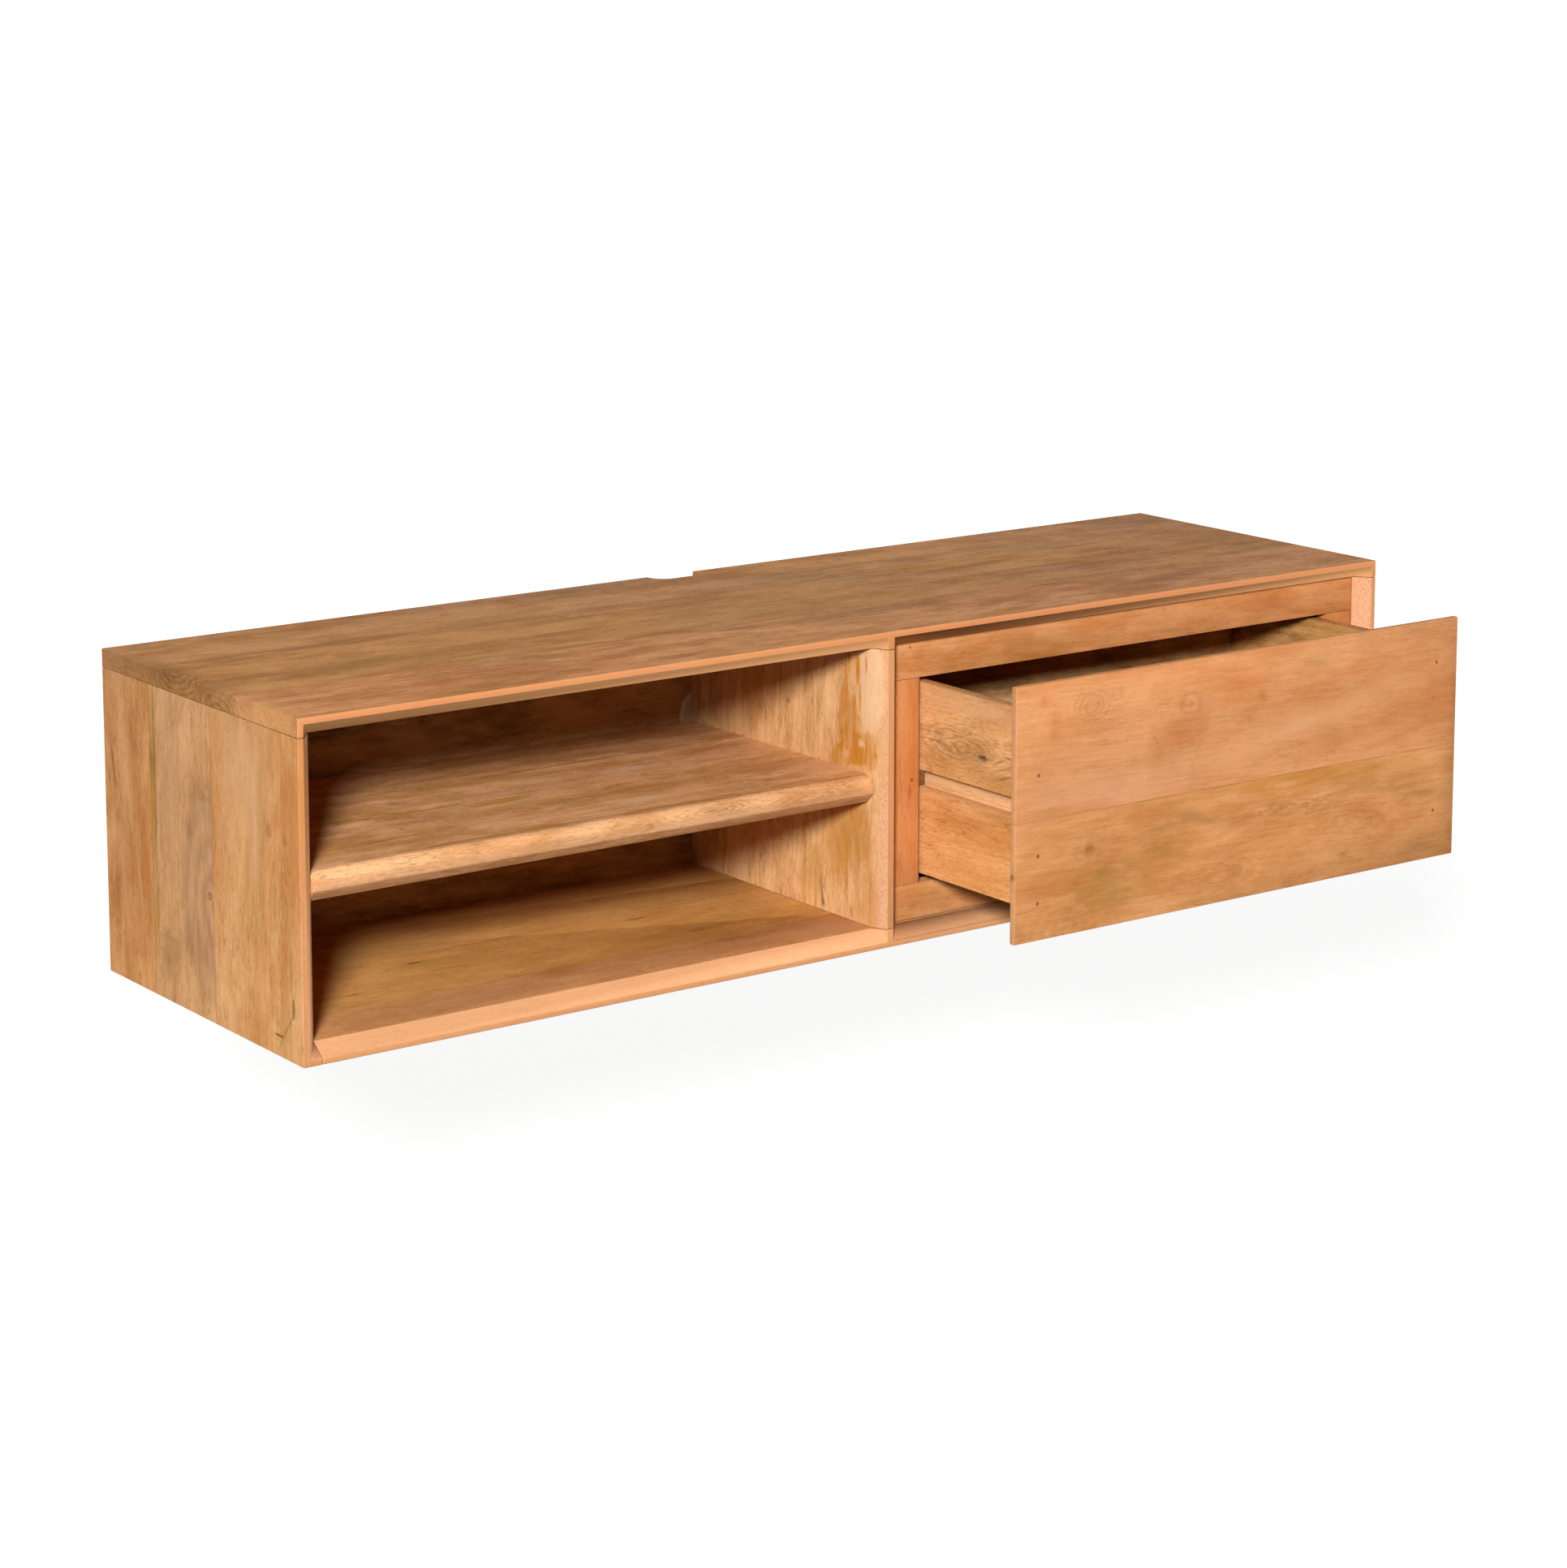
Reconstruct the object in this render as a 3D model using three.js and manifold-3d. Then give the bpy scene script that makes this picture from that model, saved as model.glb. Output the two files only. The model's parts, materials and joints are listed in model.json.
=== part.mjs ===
// Floating media console of oiled solid wood: an open bay with one fixed shelf, and a bay with a face
// frame and one overlay drawer that slides on wooden side runners. It hangs on two keyhole plates.
// Millimetres, +X to the right seen from the front, +Y towards the wall, +Z up. The origin is the
// middle of the bottom board's rear edge, on the wall plane.

import * as THREE from "three";
import { mergeVertices } from "three/addons/utils/BufferGeometryUtils.js";
import Module from "manifold-3d";

// Carcass
const width = 1450;
const depth = 420;
const height = 350;
const boardThick = 20; // top board and bottom board
const sideThick = 21;
const dividerThick = 26;
const noseFlat = 6.5; // flat front edge that the splay leaves on the outer boards
const dividerNoseFlat = 9;
const splayDepth = 18; // the splayed front edges run back this far
const glueGap = 0.3; // between pieces that are glued or butted together

// Back panels, the cable cut beside the divider, and the hollow between the panels and the wall
const backThick = 12;
const backGroove = 6; // how deep a panel sits in the outer boards
const wallHollow = 50;
const cableCutRadius = 30;
const cableCutDepth = 17; // from the divider into the open bay's panel
const cableCutRise = 7; // its centre above the shelf's top

// Cable notch in the rear edge of the top board
const notchWidth = 63;
const notchDepth = 23;
const notchCorner = 20;
const dividerNotchDrop = 35; // the same cut runs on down the divider's rear corner

// Shelf
const shelfThick = 30;
const shelfUnderside = 160; // above the underside of the cabinet
const shelfSetback = 13; // its nose behind the front of the cabinet
const shelfRoundDepth = 15; // the rounded top of the nose, front to back
const shelfRoundDrop = 19; // and top to arris
const shelfUndercut = 10; // the undercut below the arris, front to back

// Face frame of the drawer bay
const railHeight = 40;
const stileWidth = 40;
const frameThick = 18;

// Drawer
const drawerOut = 172; // how far the drawer stands open at rest
const drawerFrontThick = 17.5;
const drawerFrontEdge = 7; // its edge, before the grip bevel starts
const sideReveal = 18.5; // bay left showing beside the closed front
const endReveal = 16; // bay left showing above and below it
const drawerBoardThick = 15;
const drawerSideClear = 3;
const drawerTopClear = 6;
const drawerFootClear = 10;
const drawerRearClear = 10;
const drawerBackDrop = 8; // the back's top edge below the sides
const drawerBottomThick = 6;
const drawerBottomRaise = 10; // the bottom above the lower edge of the sides
const drawerBottomGroove = 6;
const runnerGrooveDepth = 8;
const runnerGrooveHeight = 18;

// Side runners and the packers that carry them
const runnerHeight = 17;
const runnerTipClear = 0.7; // between the runner and the floor of its groove
const runnerSetback = 3; // its front end behind the face of the frame
const runnerSeat = 0.3; // between the runner's top and the groove that rides on it
const packerHeight = 40;

// Hanging rails and keyhole plates
const hangRailThick = 20;
const hangRailHeight = 60;
const hangRailMiddleGap = 110; // left open between the two rails, for cables
const hangerInset = 140; // centre of a plate from the side of the cabinet
const plateWidth = 30;
const plateHeight = 54;
const plateThick = 2;
const keyholeRadius = 5.5;
const keySlotRadius = 2.75;
const keyTravel = 11; // from the round hole up to the end of the slot
const wallScrewPocket = 8; // behind the plate, for the head of the wall screw
const plateScrewSpacing = 40;

// Dowels
const dowelRadius = 4;
const dowelLength = 30;
const dowelBite = 12; // the part of a dowel in the board that it meets crosswise
const dowelSides = 12;
const topDowelShares = [0.12, 0.45, 0.78]; // of the depth, from the front
const bottomDowelShares = [0.2, 0.7];
const dividerDowelShares = [0.2, 0.65];
const shelfDowelShares = [0.25, 0.7];

// Plate screws, runner screws and nails: head radius, head depth, shank radius, length
const plateScrewHead = 3.4;
const plateScrewSink = 1.8;
const plateScrewShank = 1.6;
const plateScrewLength = 15;
const runnerScrewHead = 4;
const runnerScrewSink = 2.4;
const runnerScrewShank = 2;
const runnerScrewLength = 26;
const nailHead = 2;
const nailHeadThick = 1.5;
const nailShank = 1.1;
const drawerNailLength = 40;
const frameNailLength = 42;
const nailFromStileEdge = 10;
const fastenerSides = 12;
const runnerScrewShares = [0.15, 0.85]; // of the runner's length, from its front
const leftNailShares = [0.03, 0.27, 0.68]; // of the drawer side's height, from its lower edge
const rightNailShares = [0.1, 0.91];

const cutOverrun = 5;
const arcSteps = 8;
const holeSides = 32;
const mergeDistance = 0.001;

// Planes that the pieces share
const front = -depth;
const leftFace = -width / 2;
const rightFace = width / 2;
const bayFloor = boardThick;
const bayCeiling = height - boardThick;
const backRear = -wallHollow;
const backFront = backRear - backThick;
const openBay = { left: leftFace + sideThick, right: -dividerThick / 2 };
const drawerBay = { left: dividerThick / 2, right: rightFace - sideThick };
const shelfTop = shelfUnderside + shelfThick;
const frameFront = front + splayDepth;
const frameRear = frameFront + frameThick;
const opening = {
  left: drawerBay.left + stileWidth,
  right: drawerBay.right - stileWidth,
  low: bayFloor + railHeight,
  high: bayCeiling - railHeight,
};
const drawerBox = {
  left: opening.left + drawerSideClear,
  right: opening.right - drawerSideClear,
  low: opening.low + drawerFootClear,
  high: opening.high - drawerTopClear,
  front: front + drawerFrontThick,
  rear: backFront - drawerRearClear,
};
const runnerMiddle = (drawerBox.low + drawerBox.high) / 2;
const runnerTop = runnerMiddle + runnerGrooveHeight / 2 - runnerSeat;
const runnerThick = drawerSideClear + runnerGrooveDepth - runnerTipClear - glueGap;
const hangRailLow = bayCeiling - glueGap - hangRailHeight;
const plateMiddle = hangRailLow + hangRailHeight / 2;

const wasm = await Module();
wasm.setup();

const wood = (color, roughness = 0.5) => new THREE.MeshStandardMaterial({ color, roughness, metalness: 0 });
const finishes = {
  top: wood(0xb07a54),
  side: wood(0xc8915f),
  divider: wood(0xe0ac78),
  bottom: wood(0xb9783f),
  shelf: wood(0xc48c5a),
  back: wood(0x8a5a34, 0.6),
  frame: wood(0xd98c50),
  drawerFront: wood(0xdc9660),
  drawerBox: wood(0xdea06c, 0.6),
  drawerBottom: wood(0xb98d5a, 0.65),
  runner: wood(0xc79a66, 0.6),
  hangRail: wood(0xb98a58, 0.65),
  dowel: wood(0xd9b483, 0.7),
  steel: new THREE.MeshStandardMaterial({ color: 0xb9bcc0, roughness: 0.35, metalness: 0.9 }),
  nail: new THREE.MeshStandardMaterial({ color: 0x4a3426, roughness: 0.6, metalness: 0.4 }),
};

// A closed geometry as a solid that can be joined and cut.
function solidOf(geometry) {
  const bare = new THREE.BufferGeometry();
  bare.setAttribute("position", geometry.getAttribute("position"));
  bare.setIndex(geometry.index);
  const merged = mergeVertices(bare, mergeDistance);
  const mesh = new wasm.Mesh({
    numProp: 3,
    vertProperties: merged.attributes.position.array,
    triVerts: new Uint32Array(merged.index.array),
  });
  return new wasm.Manifold(mesh);
}

function geometryOf(solid) {
  const mesh = solid.getMesh();
  const geometry = new THREE.BufferGeometry();
  geometry.setAttribute("position", new THREE.BufferAttribute(mesh.vertProperties, 3));
  geometry.setIndex(new THREE.BufferAttribute(mesh.triVerts, 1));
  return geometry;
}

function cut(geometry, cutters) {
  const cuts = cutters.map(solidOf);
  return geometryOf(cuts.reduce((rest, cutter) => rest.subtract(cutter), solidOf(geometry)));
}

function join(first, second) {
  return geometryOf(solidOf(first).add(solidOf(second)));
}

// A rectangular block between two planes on each axis.
function block([x0, x1], [y0, y1], [z0, z1]) {
  const geometry = new THREE.BoxGeometry(x1 - x0, y1 - y0, z1 - z0);
  return geometry.translate((x0 + x1) / 2, (y0 + y1) / 2, (z0 + z1) / 2);
}

// A block that changes evenly from one rectangle, at its front, to another at its rear.
function taperedBlock(frontRect, rearRect, yFront, yRear) {
  const geometry = new THREE.BoxGeometry(1, 1, 1);
  const position = geometry.getAttribute("position");
  for (let i = 0; i < position.count; i++) {
    const atFront = position.getY(i) < 0;
    const rect = atFront ? frontRect : rearRect;
    const x = position.getX(i) < 0 ? rect.left : rect.right;
    const z = position.getZ(i) < 0 ? rect.low : rect.high;
    position.setXYZ(i, x, atFront ? yFront : yRear, z);
  }
  return geometry;
}

const axes = {
  x: new THREE.Vector3(1, 0, 0),
  y: new THREE.Vector3(0, 1, 0),
  z: new THREE.Vector3(0, 0, 1),
};

// Turns a shape made along +Y towards a direction.
function turnTo(direction) {
  return new THREE.Quaternion().setFromUnitVectors(axes.y, direction);
}

function rod(axis, radius, length, sides, [x, y, z]) {
  const geometry = new THREE.CylinderGeometry(radius, radius, length, sides);
  return geometry.applyQuaternion(turnTo(axes[axis])).translate(x, y, z);
}

// Adds a piece as a named mesh whose geometry is centred on its own box.
function place(group, name, material, geometry) {
  geometry.computeBoundingBox();
  const middle = geometry.boundingBox.getCenter(new THREE.Vector3());
  geometry.translate(-middle.x, -middle.y, -middle.z);
  const mesh = new THREE.Mesh(geometry, material);
  mesh.name = name;
  mesh.position.copy(middle);
  group.add(mesh);
}

// Dowels: each is listed once, and every board that it enters is cut by the same list.
const dowels = [];

function addDowels(name, axis, x, z, shares) {
  shares.forEach((share, i) => {
    dowels.push({ name: `${name}_dowel_${i + 1}`, axis, at: [x, front + depth * share, z] });
  });
}

const dowelReach = dowelBite - dowelLength / 2; // from the face of the crosswise board to the dowel's middle
const bottomMiddle = boardThick / 2;
const shelfMiddle = shelfUnderside + shelfThick / 2;
addDowels("top_left", "z", leftFace + sideThick / 2, bayCeiling + dowelReach, topDowelShares);
addDowels("top_right", "z", rightFace - sideThick / 2, bayCeiling + dowelReach, topDowelShares);
addDowels("bottom_left", "x", openBay.left - dowelReach, bottomMiddle, bottomDowelShares);
addDowels("bottom_right", "x", drawerBay.right + dowelReach, bottomMiddle, bottomDowelShares);
addDowels("divider_top", "z", 0, bayCeiling + dowelReach, dividerDowelShares);
addDowels("divider_foot", "z", 0, bayFloor - dowelReach, dividerDowelShares);
addDowels("shelf_left", "x", openBay.left - dowelReach, shelfMiddle, shelfDowelShares);
addDowels("shelf_right", "x", openBay.right + dowelReach, shelfMiddle, shelfDowelShares);

const dowelHoles = dowels.map(({ axis, at }) =>
  rod(axis, dowelRadius + glueGap, dowelLength + 2 * glueGap, dowelSides, at),
);

// Screws and nails: each maker gives the fastener's own shape and the hole that it sits in. The head
// is at the origin of their frame, facing up, and the shank runs down from it.
function lathe(outline) {
  return new THREE.LatheGeometry(outline.map(([radius, y]) => new THREE.Vector2(radius, y)), fastenerSides);
}

function screwPair(head, sink, shank, length) {
  const holeRadius = shank + glueGap;
  const holeEnd = -length - glueGap;
  return {
    shape: lathe([[0, -length], [shank, 2 * shank - length], [shank, -sink], [head, 0], [0, 0]]),
    hole: lathe([
      [0, holeEnd],
      [holeRadius, holeEnd],
      [holeRadius, -sink - glueGap],
      [head + glueGap, 0],
      [head + glueGap, cutOverrun],
      [0, cutOverrun],
    ]),
  };
}

function nailPair(length) {
  const holeRadius = nailShank + glueGap;
  const holeEnd = -length - glueGap;
  const headHole = nailHead + glueGap;
  return {
    shape: lathe([
      [0, -length],
      [nailShank, 2 * nailShank - length],
      [nailShank, -nailHeadThick],
      [nailHead, -nailHeadThick],
      [nailHead, 0],
      [0, 0],
    ]),
    hole: lathe([
      [0, holeEnd],
      [holeRadius, holeEnd],
      [holeRadius, -nailHeadThick - glueGap],
      [headHole, -nailHeadThick - glueGap],
      [headHole, cutOverrun],
      [0, cutOverrun],
    ]),
  };
}

const towardsFront = axes.y.clone().negate();
const towardsRight = axes.x;
const towardsLeft = axes.x.clone().negate();

// A fastener's record: its name, its shape, the cutter of its hole, where its head is and what it faces.
function fastener(name, { shape, hole }, at, facing) {
  return { name, shape, facing, at, cutter: hole.applyQuaternion(turnTo(facing)).translate(...at) };
}

function placeFasteners(group, material, list) {
  list.forEach(({ name, shape, facing, at }) => {
    const mesh = new THREE.Mesh(shape, material);
    mesh.name = name;
    mesh.quaternion.copy(turnTo(facing));
    mesh.position.set(...at);
    group.add(mesh);
  });
}

const cutters = (list) => list.map((item) => item.cutter);

function plateScrew(name, x, z) {
  const pair = screwPair(plateScrewHead, plateScrewSink, plateScrewShank, plateScrewLength);
  return fastener(name, pair, [x, 0, z], axes.y);
}

function runnerScrews(side, tip, facing) {
  const start = frameFront + runnerSetback;
  const length = backFront - glueGap - start;
  return runnerScrewShares.map((share, i) => {
    const pair = screwPair(runnerScrewHead, runnerScrewSink, runnerScrewShank, runnerScrewLength);
    const at = [tip, start + length * share, runnerMiddle];
    return fastener(`${side}_runner_screw_${i + 1}`, pair, at, facing);
  });
}

function drawerNails(side, x, shares) {
  return shares.map((share, i) => {
    const at = [x, front, drawerBox.low + (drawerBox.high - drawerBox.low) * share];
    return fastener(`${side}_drawer_nail_${i + 1}`, nailPair(drawerNailLength), at, towardsFront);
  });
}

function frameNail(side, x) {
  const at = [x, frameFront, runnerMiddle];
  return fastener(`${side}_stile_nail`, nailPair(frameNailLength), at, towardsFront);
}

// The splay of one bay: all four front edges slope in together to the bay's clear opening.
const sideRise = sideThick - noseFlat;
const boardRise = boardThick - noseFlat;
const dividerRise = (dividerThick - dividerNoseFlat) / 2;

function splayCutter(bay, leftRise, rightRise) {
  const reach = 1 + cutOverrun / splayDepth;
  const mouth = {
    left: bay.left - leftRise * reach,
    right: bay.right + rightRise * reach,
    low: bayFloor - boardRise * reach,
    high: bayCeiling + boardRise * reach,
  };
  const throat = { left: bay.left, right: bay.right, low: bayFloor, high: bayCeiling };
  return taperedBlock(mouth, throat, front - cutOverrun, front + splayDepth);
}

const splays = [
  splayCutter(openBay, sideRise, dividerRise),
  splayCutter(drawerBay, dividerRise, sideRise),
];

// The groove that holds the back panels, cut into all four outer boards.
const backGrooveCutter = block(
  [openBay.left - backGroove, drawerBay.right + backGroove],
  [backFront - glueGap, backRear + glueGap],
  [bayFloor - backGroove, bayCeiling + backGroove],
);

// The notch's outline, seen from above: it enters from the rear edge and has two round corners.
function notchCutter(low) {
  const corner = Math.min(notchCorner, notchDepth, notchWidth / 2);
  const half = notchWidth / 2;
  const outline = new THREE.Shape();
  outline.moveTo(half, cutOverrun);
  outline.lineTo(-half, cutOverrun);
  outline.lineTo(-half, corner - notchDepth);
  outline.absarc(corner - half, corner - notchDepth, corner, Math.PI, 1.5 * Math.PI, false);
  outline.absarc(half - corner, corner - notchDepth, corner, 1.5 * Math.PI, 2 * Math.PI, false);
  const geometry = new THREE.ExtrudeGeometry(outline, {
    depth: height + cutOverrun - low,
    curveSegments: arcSteps,
    bevelEnabled: false,
  });
  return geometry.translate(0, 0, low);
}

function carcass(group) {
  const boardCuts = [...splays, ...dowelHoles, backGrooveCutter];
  const fullDepth = [front, 0];
  const top = block([leftFace, rightFace], fullDepth, [bayCeiling, height]);
  const topNotch = notchCutter(bayCeiling - cutOverrun);
  place(group, "top_board", finishes.top, cut(top, [...boardCuts, topNotch]));
  const between = [openBay.left + glueGap, drawerBay.right - glueGap];
  const bottom = block(between, fullDepth, [0, bayFloor]);
  place(group, "bottom_board", finishes.bottom, cut(bottom, boardCuts));
  const sideHeight = [0, bayCeiling - glueGap];
  const left = block([leftFace, openBay.left], fullDepth, sideHeight);
  place(group, "left_side", finishes.side, cut(left, boardCuts));
  const right = block([drawerBay.right, rightFace], fullDepth, sideHeight);
  place(group, "right_side", finishes.side, cut(right, boardCuts));
  const clearHeight = [bayFloor + glueGap, bayCeiling - glueGap];
  const divider = block([openBay.right, drawerBay.left], fullDepth, clearHeight);
  const dividerCuts = [...splays, ...dowelHoles, notchCutter(bayCeiling - dividerNotchDrop)];
  place(group, "divider", finishes.divider, cut(divider, dividerCuts));
}

// Each bay has its own back panel: grooved into the outer boards and butted to the divider.
function backPanels(group) {
  const through = [backFront, backRear];
  const upright = [bayFloor - backGroove + glueGap, bayCeiling + backGroove - glueGap];
  const leftSpan = [openBay.left - backGroove + glueGap, openBay.right - glueGap];
  const cutMiddle = [
    openBay.right - cableCutDepth + cableCutRadius,
    (backFront + backRear) / 2,
    shelfTop + cableCutRise,
  ];
  const cableCut = rod("y", cableCutRadius, backThick + 2 * cutOverrun, holeSides, cutMiddle);
  const left = cut(block(leftSpan, through, upright), [cableCut]);
  place(group, "left_back_panel", finishes.back, left);
  const rightSpan = [drawerBay.left + glueGap, drawerBay.right + backGroove - glueGap];
  place(group, "right_back_panel", finishes.back, block(rightSpan, through, upright));
}

// The shelf's outline is drawn front to back and up, and is then extruded along X.
function shelf(group) {
  const nose = front + shelfSetback;
  const arris = shelfTop - shelfRoundDrop;
  const rear = backFront - glueGap;
  const outline = new THREE.Shape();
  outline.moveTo(rear, shelfTop);
  outline.lineTo(nose + shelfRoundDepth, shelfTop);
  outline.absellipse(
    nose + shelfRoundDepth,
    arris,
    shelfRoundDepth,
    shelfRoundDrop,
    Math.PI / 2,
    Math.PI,
    false,
    0,
  );
  outline.lineTo(nose + shelfUndercut, shelfUnderside);
  outline.lineTo(rear, shelfUnderside);
  const length = openBay.right - openBay.left - 2 * glueGap;
  const geometry = new THREE.ExtrudeGeometry(outline, {
    depth: length,
    curveSegments: arcSteps,
    bevelEnabled: false,
  });
  geometry.applyMatrix4(new THREE.Matrix4().makeBasis(axes.y, axes.z, axes.x));
  geometry.translate(openBay.left + glueGap, 0, 0);
  place(group, "shelf", finishes.shelf, cut(geometry, dowelHoles));
}

const stileNails = [
  frameNail("left", opening.left - nailFromStileEdge),
  frameNail("right", opening.right + nailFromStileEdge),
];

function faceFrame(group) {
  const across = [drawerBay.left + glueGap, drawerBay.right - glueGap];
  const through = [frameFront, frameRear];
  const upright = [opening.low + glueGap, opening.high - glueGap];
  const topRail = block(across, through, [opening.high, bayCeiling - glueGap]);
  place(group, "frame_top_rail", finishes.frame, topRail);
  const bottomRail = block(across, through, [bayFloor + glueGap, opening.low]);
  place(group, "frame_bottom_rail", finishes.frame, bottomRail);
  const leftStile = block([across[0], opening.left], through, upright);
  place(group, "frame_left_stile", finishes.frame, cut(leftStile, cutters(stileNails)));
  const rightStile = block([opening.right, across[1]], through, upright);
  place(group, "frame_right_stile", finishes.frame, cut(rightStile, cutters(stileNails)));
  placeFasteners(group, finishes.nail, stileNails);
}

// One runner with its packer, on the side of the bay that lies at x = wallX.
function runner(group, side, wallX, openingX, facing) {
  const inward = facing.x;
  const span = (x0, x1) => (x0 < x1 ? [x0, x1] : [x1, x0]);
  const seatX = openingX + inward * glueGap;
  const tip = seatX + inward * runnerThick;
  const screws = runnerScrews(side, tip, facing);
  const rear = backFront - glueGap;
  const packer = block(
    span(wallX + inward * glueGap, openingX),
    [frameRear + glueGap, rear],
    [runnerMiddle - packerHeight / 2, runnerMiddle + packerHeight / 2],
  );
  const packerCuts = [...cutters(screws), ...cutters(stileNails)];
  place(group, `${side}_runner_packer`, finishes.runner, cut(packer, packerCuts));
  const strip = block(
    span(seatX, tip),
    [frameFront + runnerSetback, rear],
    [runnerTop - runnerHeight, runnerTop],
  );
  place(group, `${side}_runner`, finishes.runner, cut(strip, cutters(screws)));
  placeFasteners(group, finishes.steel, screws);
}

// The keyhole: a round hole that the wall screw's head enters, and a slot above it.
function keyholeCutters(x, yFront, headClear) {
  const low = plateMiddle - keyTravel / 2;
  const high = plateMiddle + keyTravel / 2;
  const length = cutOverrun - yFront;
  const middleY = (yFront + cutOverrun) / 2;
  const slotHalf = headClear ? keyholeRadius : keySlotRadius;
  return [
    rod("y", keyholeRadius, length, holeSides, [x, middleY, low]),
    rod("y", slotHalf, length, holeSides, [x, middleY, high]),
    block([x - slotHalf, x + slotHalf], [yFront, cutOverrun], [low, high]),
  ];
}

function hanger(group, side, railX, plateX) {
  const screws = [
    plateScrew(`${side}_plate_screw_1`, plateX, plateMiddle - plateScrewSpacing / 2),
    plateScrew(`${side}_plate_screw_2`, plateX, plateMiddle + plateScrewSpacing / 2),
  ];
  const rail = block(railX, [-hangRailThick, 0], [hangRailLow, hangRailLow + hangRailHeight]);
  const halfWidth = plateWidth / 2;
  const halfHeight = plateHeight / 2;
  const recess = block(
    [plateX - halfWidth - glueGap, plateX + halfWidth + glueGap],
    [-plateThick - glueGap, cutOverrun],
    [plateMiddle - halfHeight - glueGap, plateMiddle + halfHeight + glueGap],
  );
  const pocket = keyholeCutters(plateX, -plateThick - wallScrewPocket, true);
  place(group, `${side}_hanging_rail`, finishes.hangRail, cut(rail, [recess, ...pocket, ...cutters(screws)]));
  const plate = block(
    [plateX - halfWidth, plateX + halfWidth],
    [-plateThick, 0],
    [plateMiddle - halfHeight, plateMiddle + halfHeight],
  );
  const keyhole = keyholeCutters(plateX, -plateThick - cutOverrun, false);
  place(group, `${side}_keyhole_plate`, finishes.steel, cut(plate, [...keyhole, ...cutters(screws)]));
  placeFasteners(group, finishes.steel, screws);
}

// The drawer is built closed, and its group then stands open by drawerOut.
function drawer() {
  const group = new THREE.Group();
  const halfBoard = drawerBoardThick / 2;
  const nails = [
    ...drawerNails("left", drawerBox.left + halfBoard, leftNailShares),
    ...drawerNails("right", drawerBox.right - halfBoard, rightNailShares),
  ];
  const innerLeft = drawerBox.left + drawerBoardThick;
  const innerRight = drawerBox.right - drawerBoardThick;
  const bottomLow = drawerBox.low + drawerBottomRaise;
  const bottomHigh = bottomLow + drawerBottomThick;
  const innerRear = drawerBox.rear - drawerBoardThick;
  const bottomGroove = block(
    [innerLeft - drawerBottomGroove, innerRight + drawerBottomGroove],
    [drawerBox.front - drawerBottomGroove, innerRear + drawerBottomGroove],
    [bottomLow - glueGap, bottomHigh + glueGap],
  );

  const face = {
    left: drawerBay.left + sideReveal,
    right: drawerBay.right - sideReveal,
    low: bayFloor + endReveal,
    high: bayCeiling - endReveal,
  };
  const grip = drawerFrontThick - drawerFrontEdge;
  const gripRect = {
    left: face.left + grip,
    right: face.right - grip,
    low: face.low + grip,
    high: face.high - grip,
  };
  const edgeRear = front + drawerFrontEdge;
  const slab = block([face.left, face.right], [front, edgeRear], [face.low, face.high]);
  const bevel = taperedBlock(face, gripRect, edgeRear, drawerBox.front);
  const frontPiece = cut(join(slab, bevel), [bottomGroove, ...cutters(nails)]);
  place(group, "drawer_front", finishes.drawerFront, frontPiece);

  const sideY = [drawerBox.front + glueGap, drawerBox.rear];
  const sideZ = [drawerBox.low, drawerBox.high];
  const runnerGroove = (x) =>
    block(
      [x - runnerGrooveDepth, x + runnerGrooveDepth],
      [drawerBox.front - cutOverrun, drawerBox.rear + cutOverrun],
      [runnerMiddle - runnerGrooveHeight / 2, runnerMiddle + runnerGrooveHeight / 2],
    );
  const runnerGrooves = [runnerGroove(drawerBox.left), runnerGroove(drawerBox.right)];
  const sideCuts = [...runnerGrooves, bottomGroove, ...cutters(nails)];
  const left = block([drawerBox.left, innerLeft], sideY, sideZ);
  place(group, "drawer_left_side", finishes.drawerBox, cut(left, sideCuts));
  const right = block([innerRight, drawerBox.right], sideY, sideZ);
  place(group, "drawer_right_side", finishes.drawerBox, cut(right, sideCuts));
  const back = block(
    [innerLeft + glueGap, innerRight - glueGap],
    [innerRear, drawerBox.rear],
    [drawerBox.low, drawerBox.high - drawerBackDrop],
  );
  place(group, "drawer_back", finishes.drawerBox, cut(back, [bottomGroove]));
  const bottom = block(
    [innerLeft - drawerBottomGroove + glueGap, innerRight + drawerBottomGroove - glueGap],
    [drawerBox.front - drawerBottomGroove + glueGap, innerRear + drawerBottomGroove - glueGap],
    [bottomLow, bottomHigh],
  );
  place(group, "drawer_bottom", finishes.drawerBottom, bottom);
  placeFasteners(group, finishes.nail, nails);
  group.position.y = -drawerOut;
  return group;
}

const mediaConsole = new THREE.Group();
carcass(mediaConsole);
backPanels(mediaConsole);
shelf(mediaConsole);
faceFrame(mediaConsole);
runner(mediaConsole, "left", drawerBay.left, opening.left, towardsRight);
runner(mediaConsole, "right", drawerBay.right, opening.right, towardsLeft);
const railMiddle = hangRailMiddleGap / 2;
hanger(mediaConsole, "left", [openBay.left + glueGap, -railMiddle], leftFace + hangerInset);
hanger(mediaConsole, "right", [railMiddle, drawerBay.right - glueGap], rightFace - hangerInset);
dowels.forEach(({ name, axis, at }) => {
  place(mediaConsole, name, finishes.dowel, rod(axis, dowelRadius, dowelLength, dowelSides, at));
});
mediaConsole.add(drawer());
mediaConsole.position.z = -boardThick / 2;

const part = new THREE.Group();
part.add(mediaConsole);

export default part;
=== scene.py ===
"""The looks of a floating media console of oiled solid wood.

Every board is an eased copy of its solid, in timber that is a pattern in space: ring bands round a
heart line, veins, fibres and pores run through the whole plank, so faces, edges and end grain agree.
Metres, +X to the right seen from the front, +Y towards the wall, +Z up.
"""

from __future__ import annotations

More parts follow.
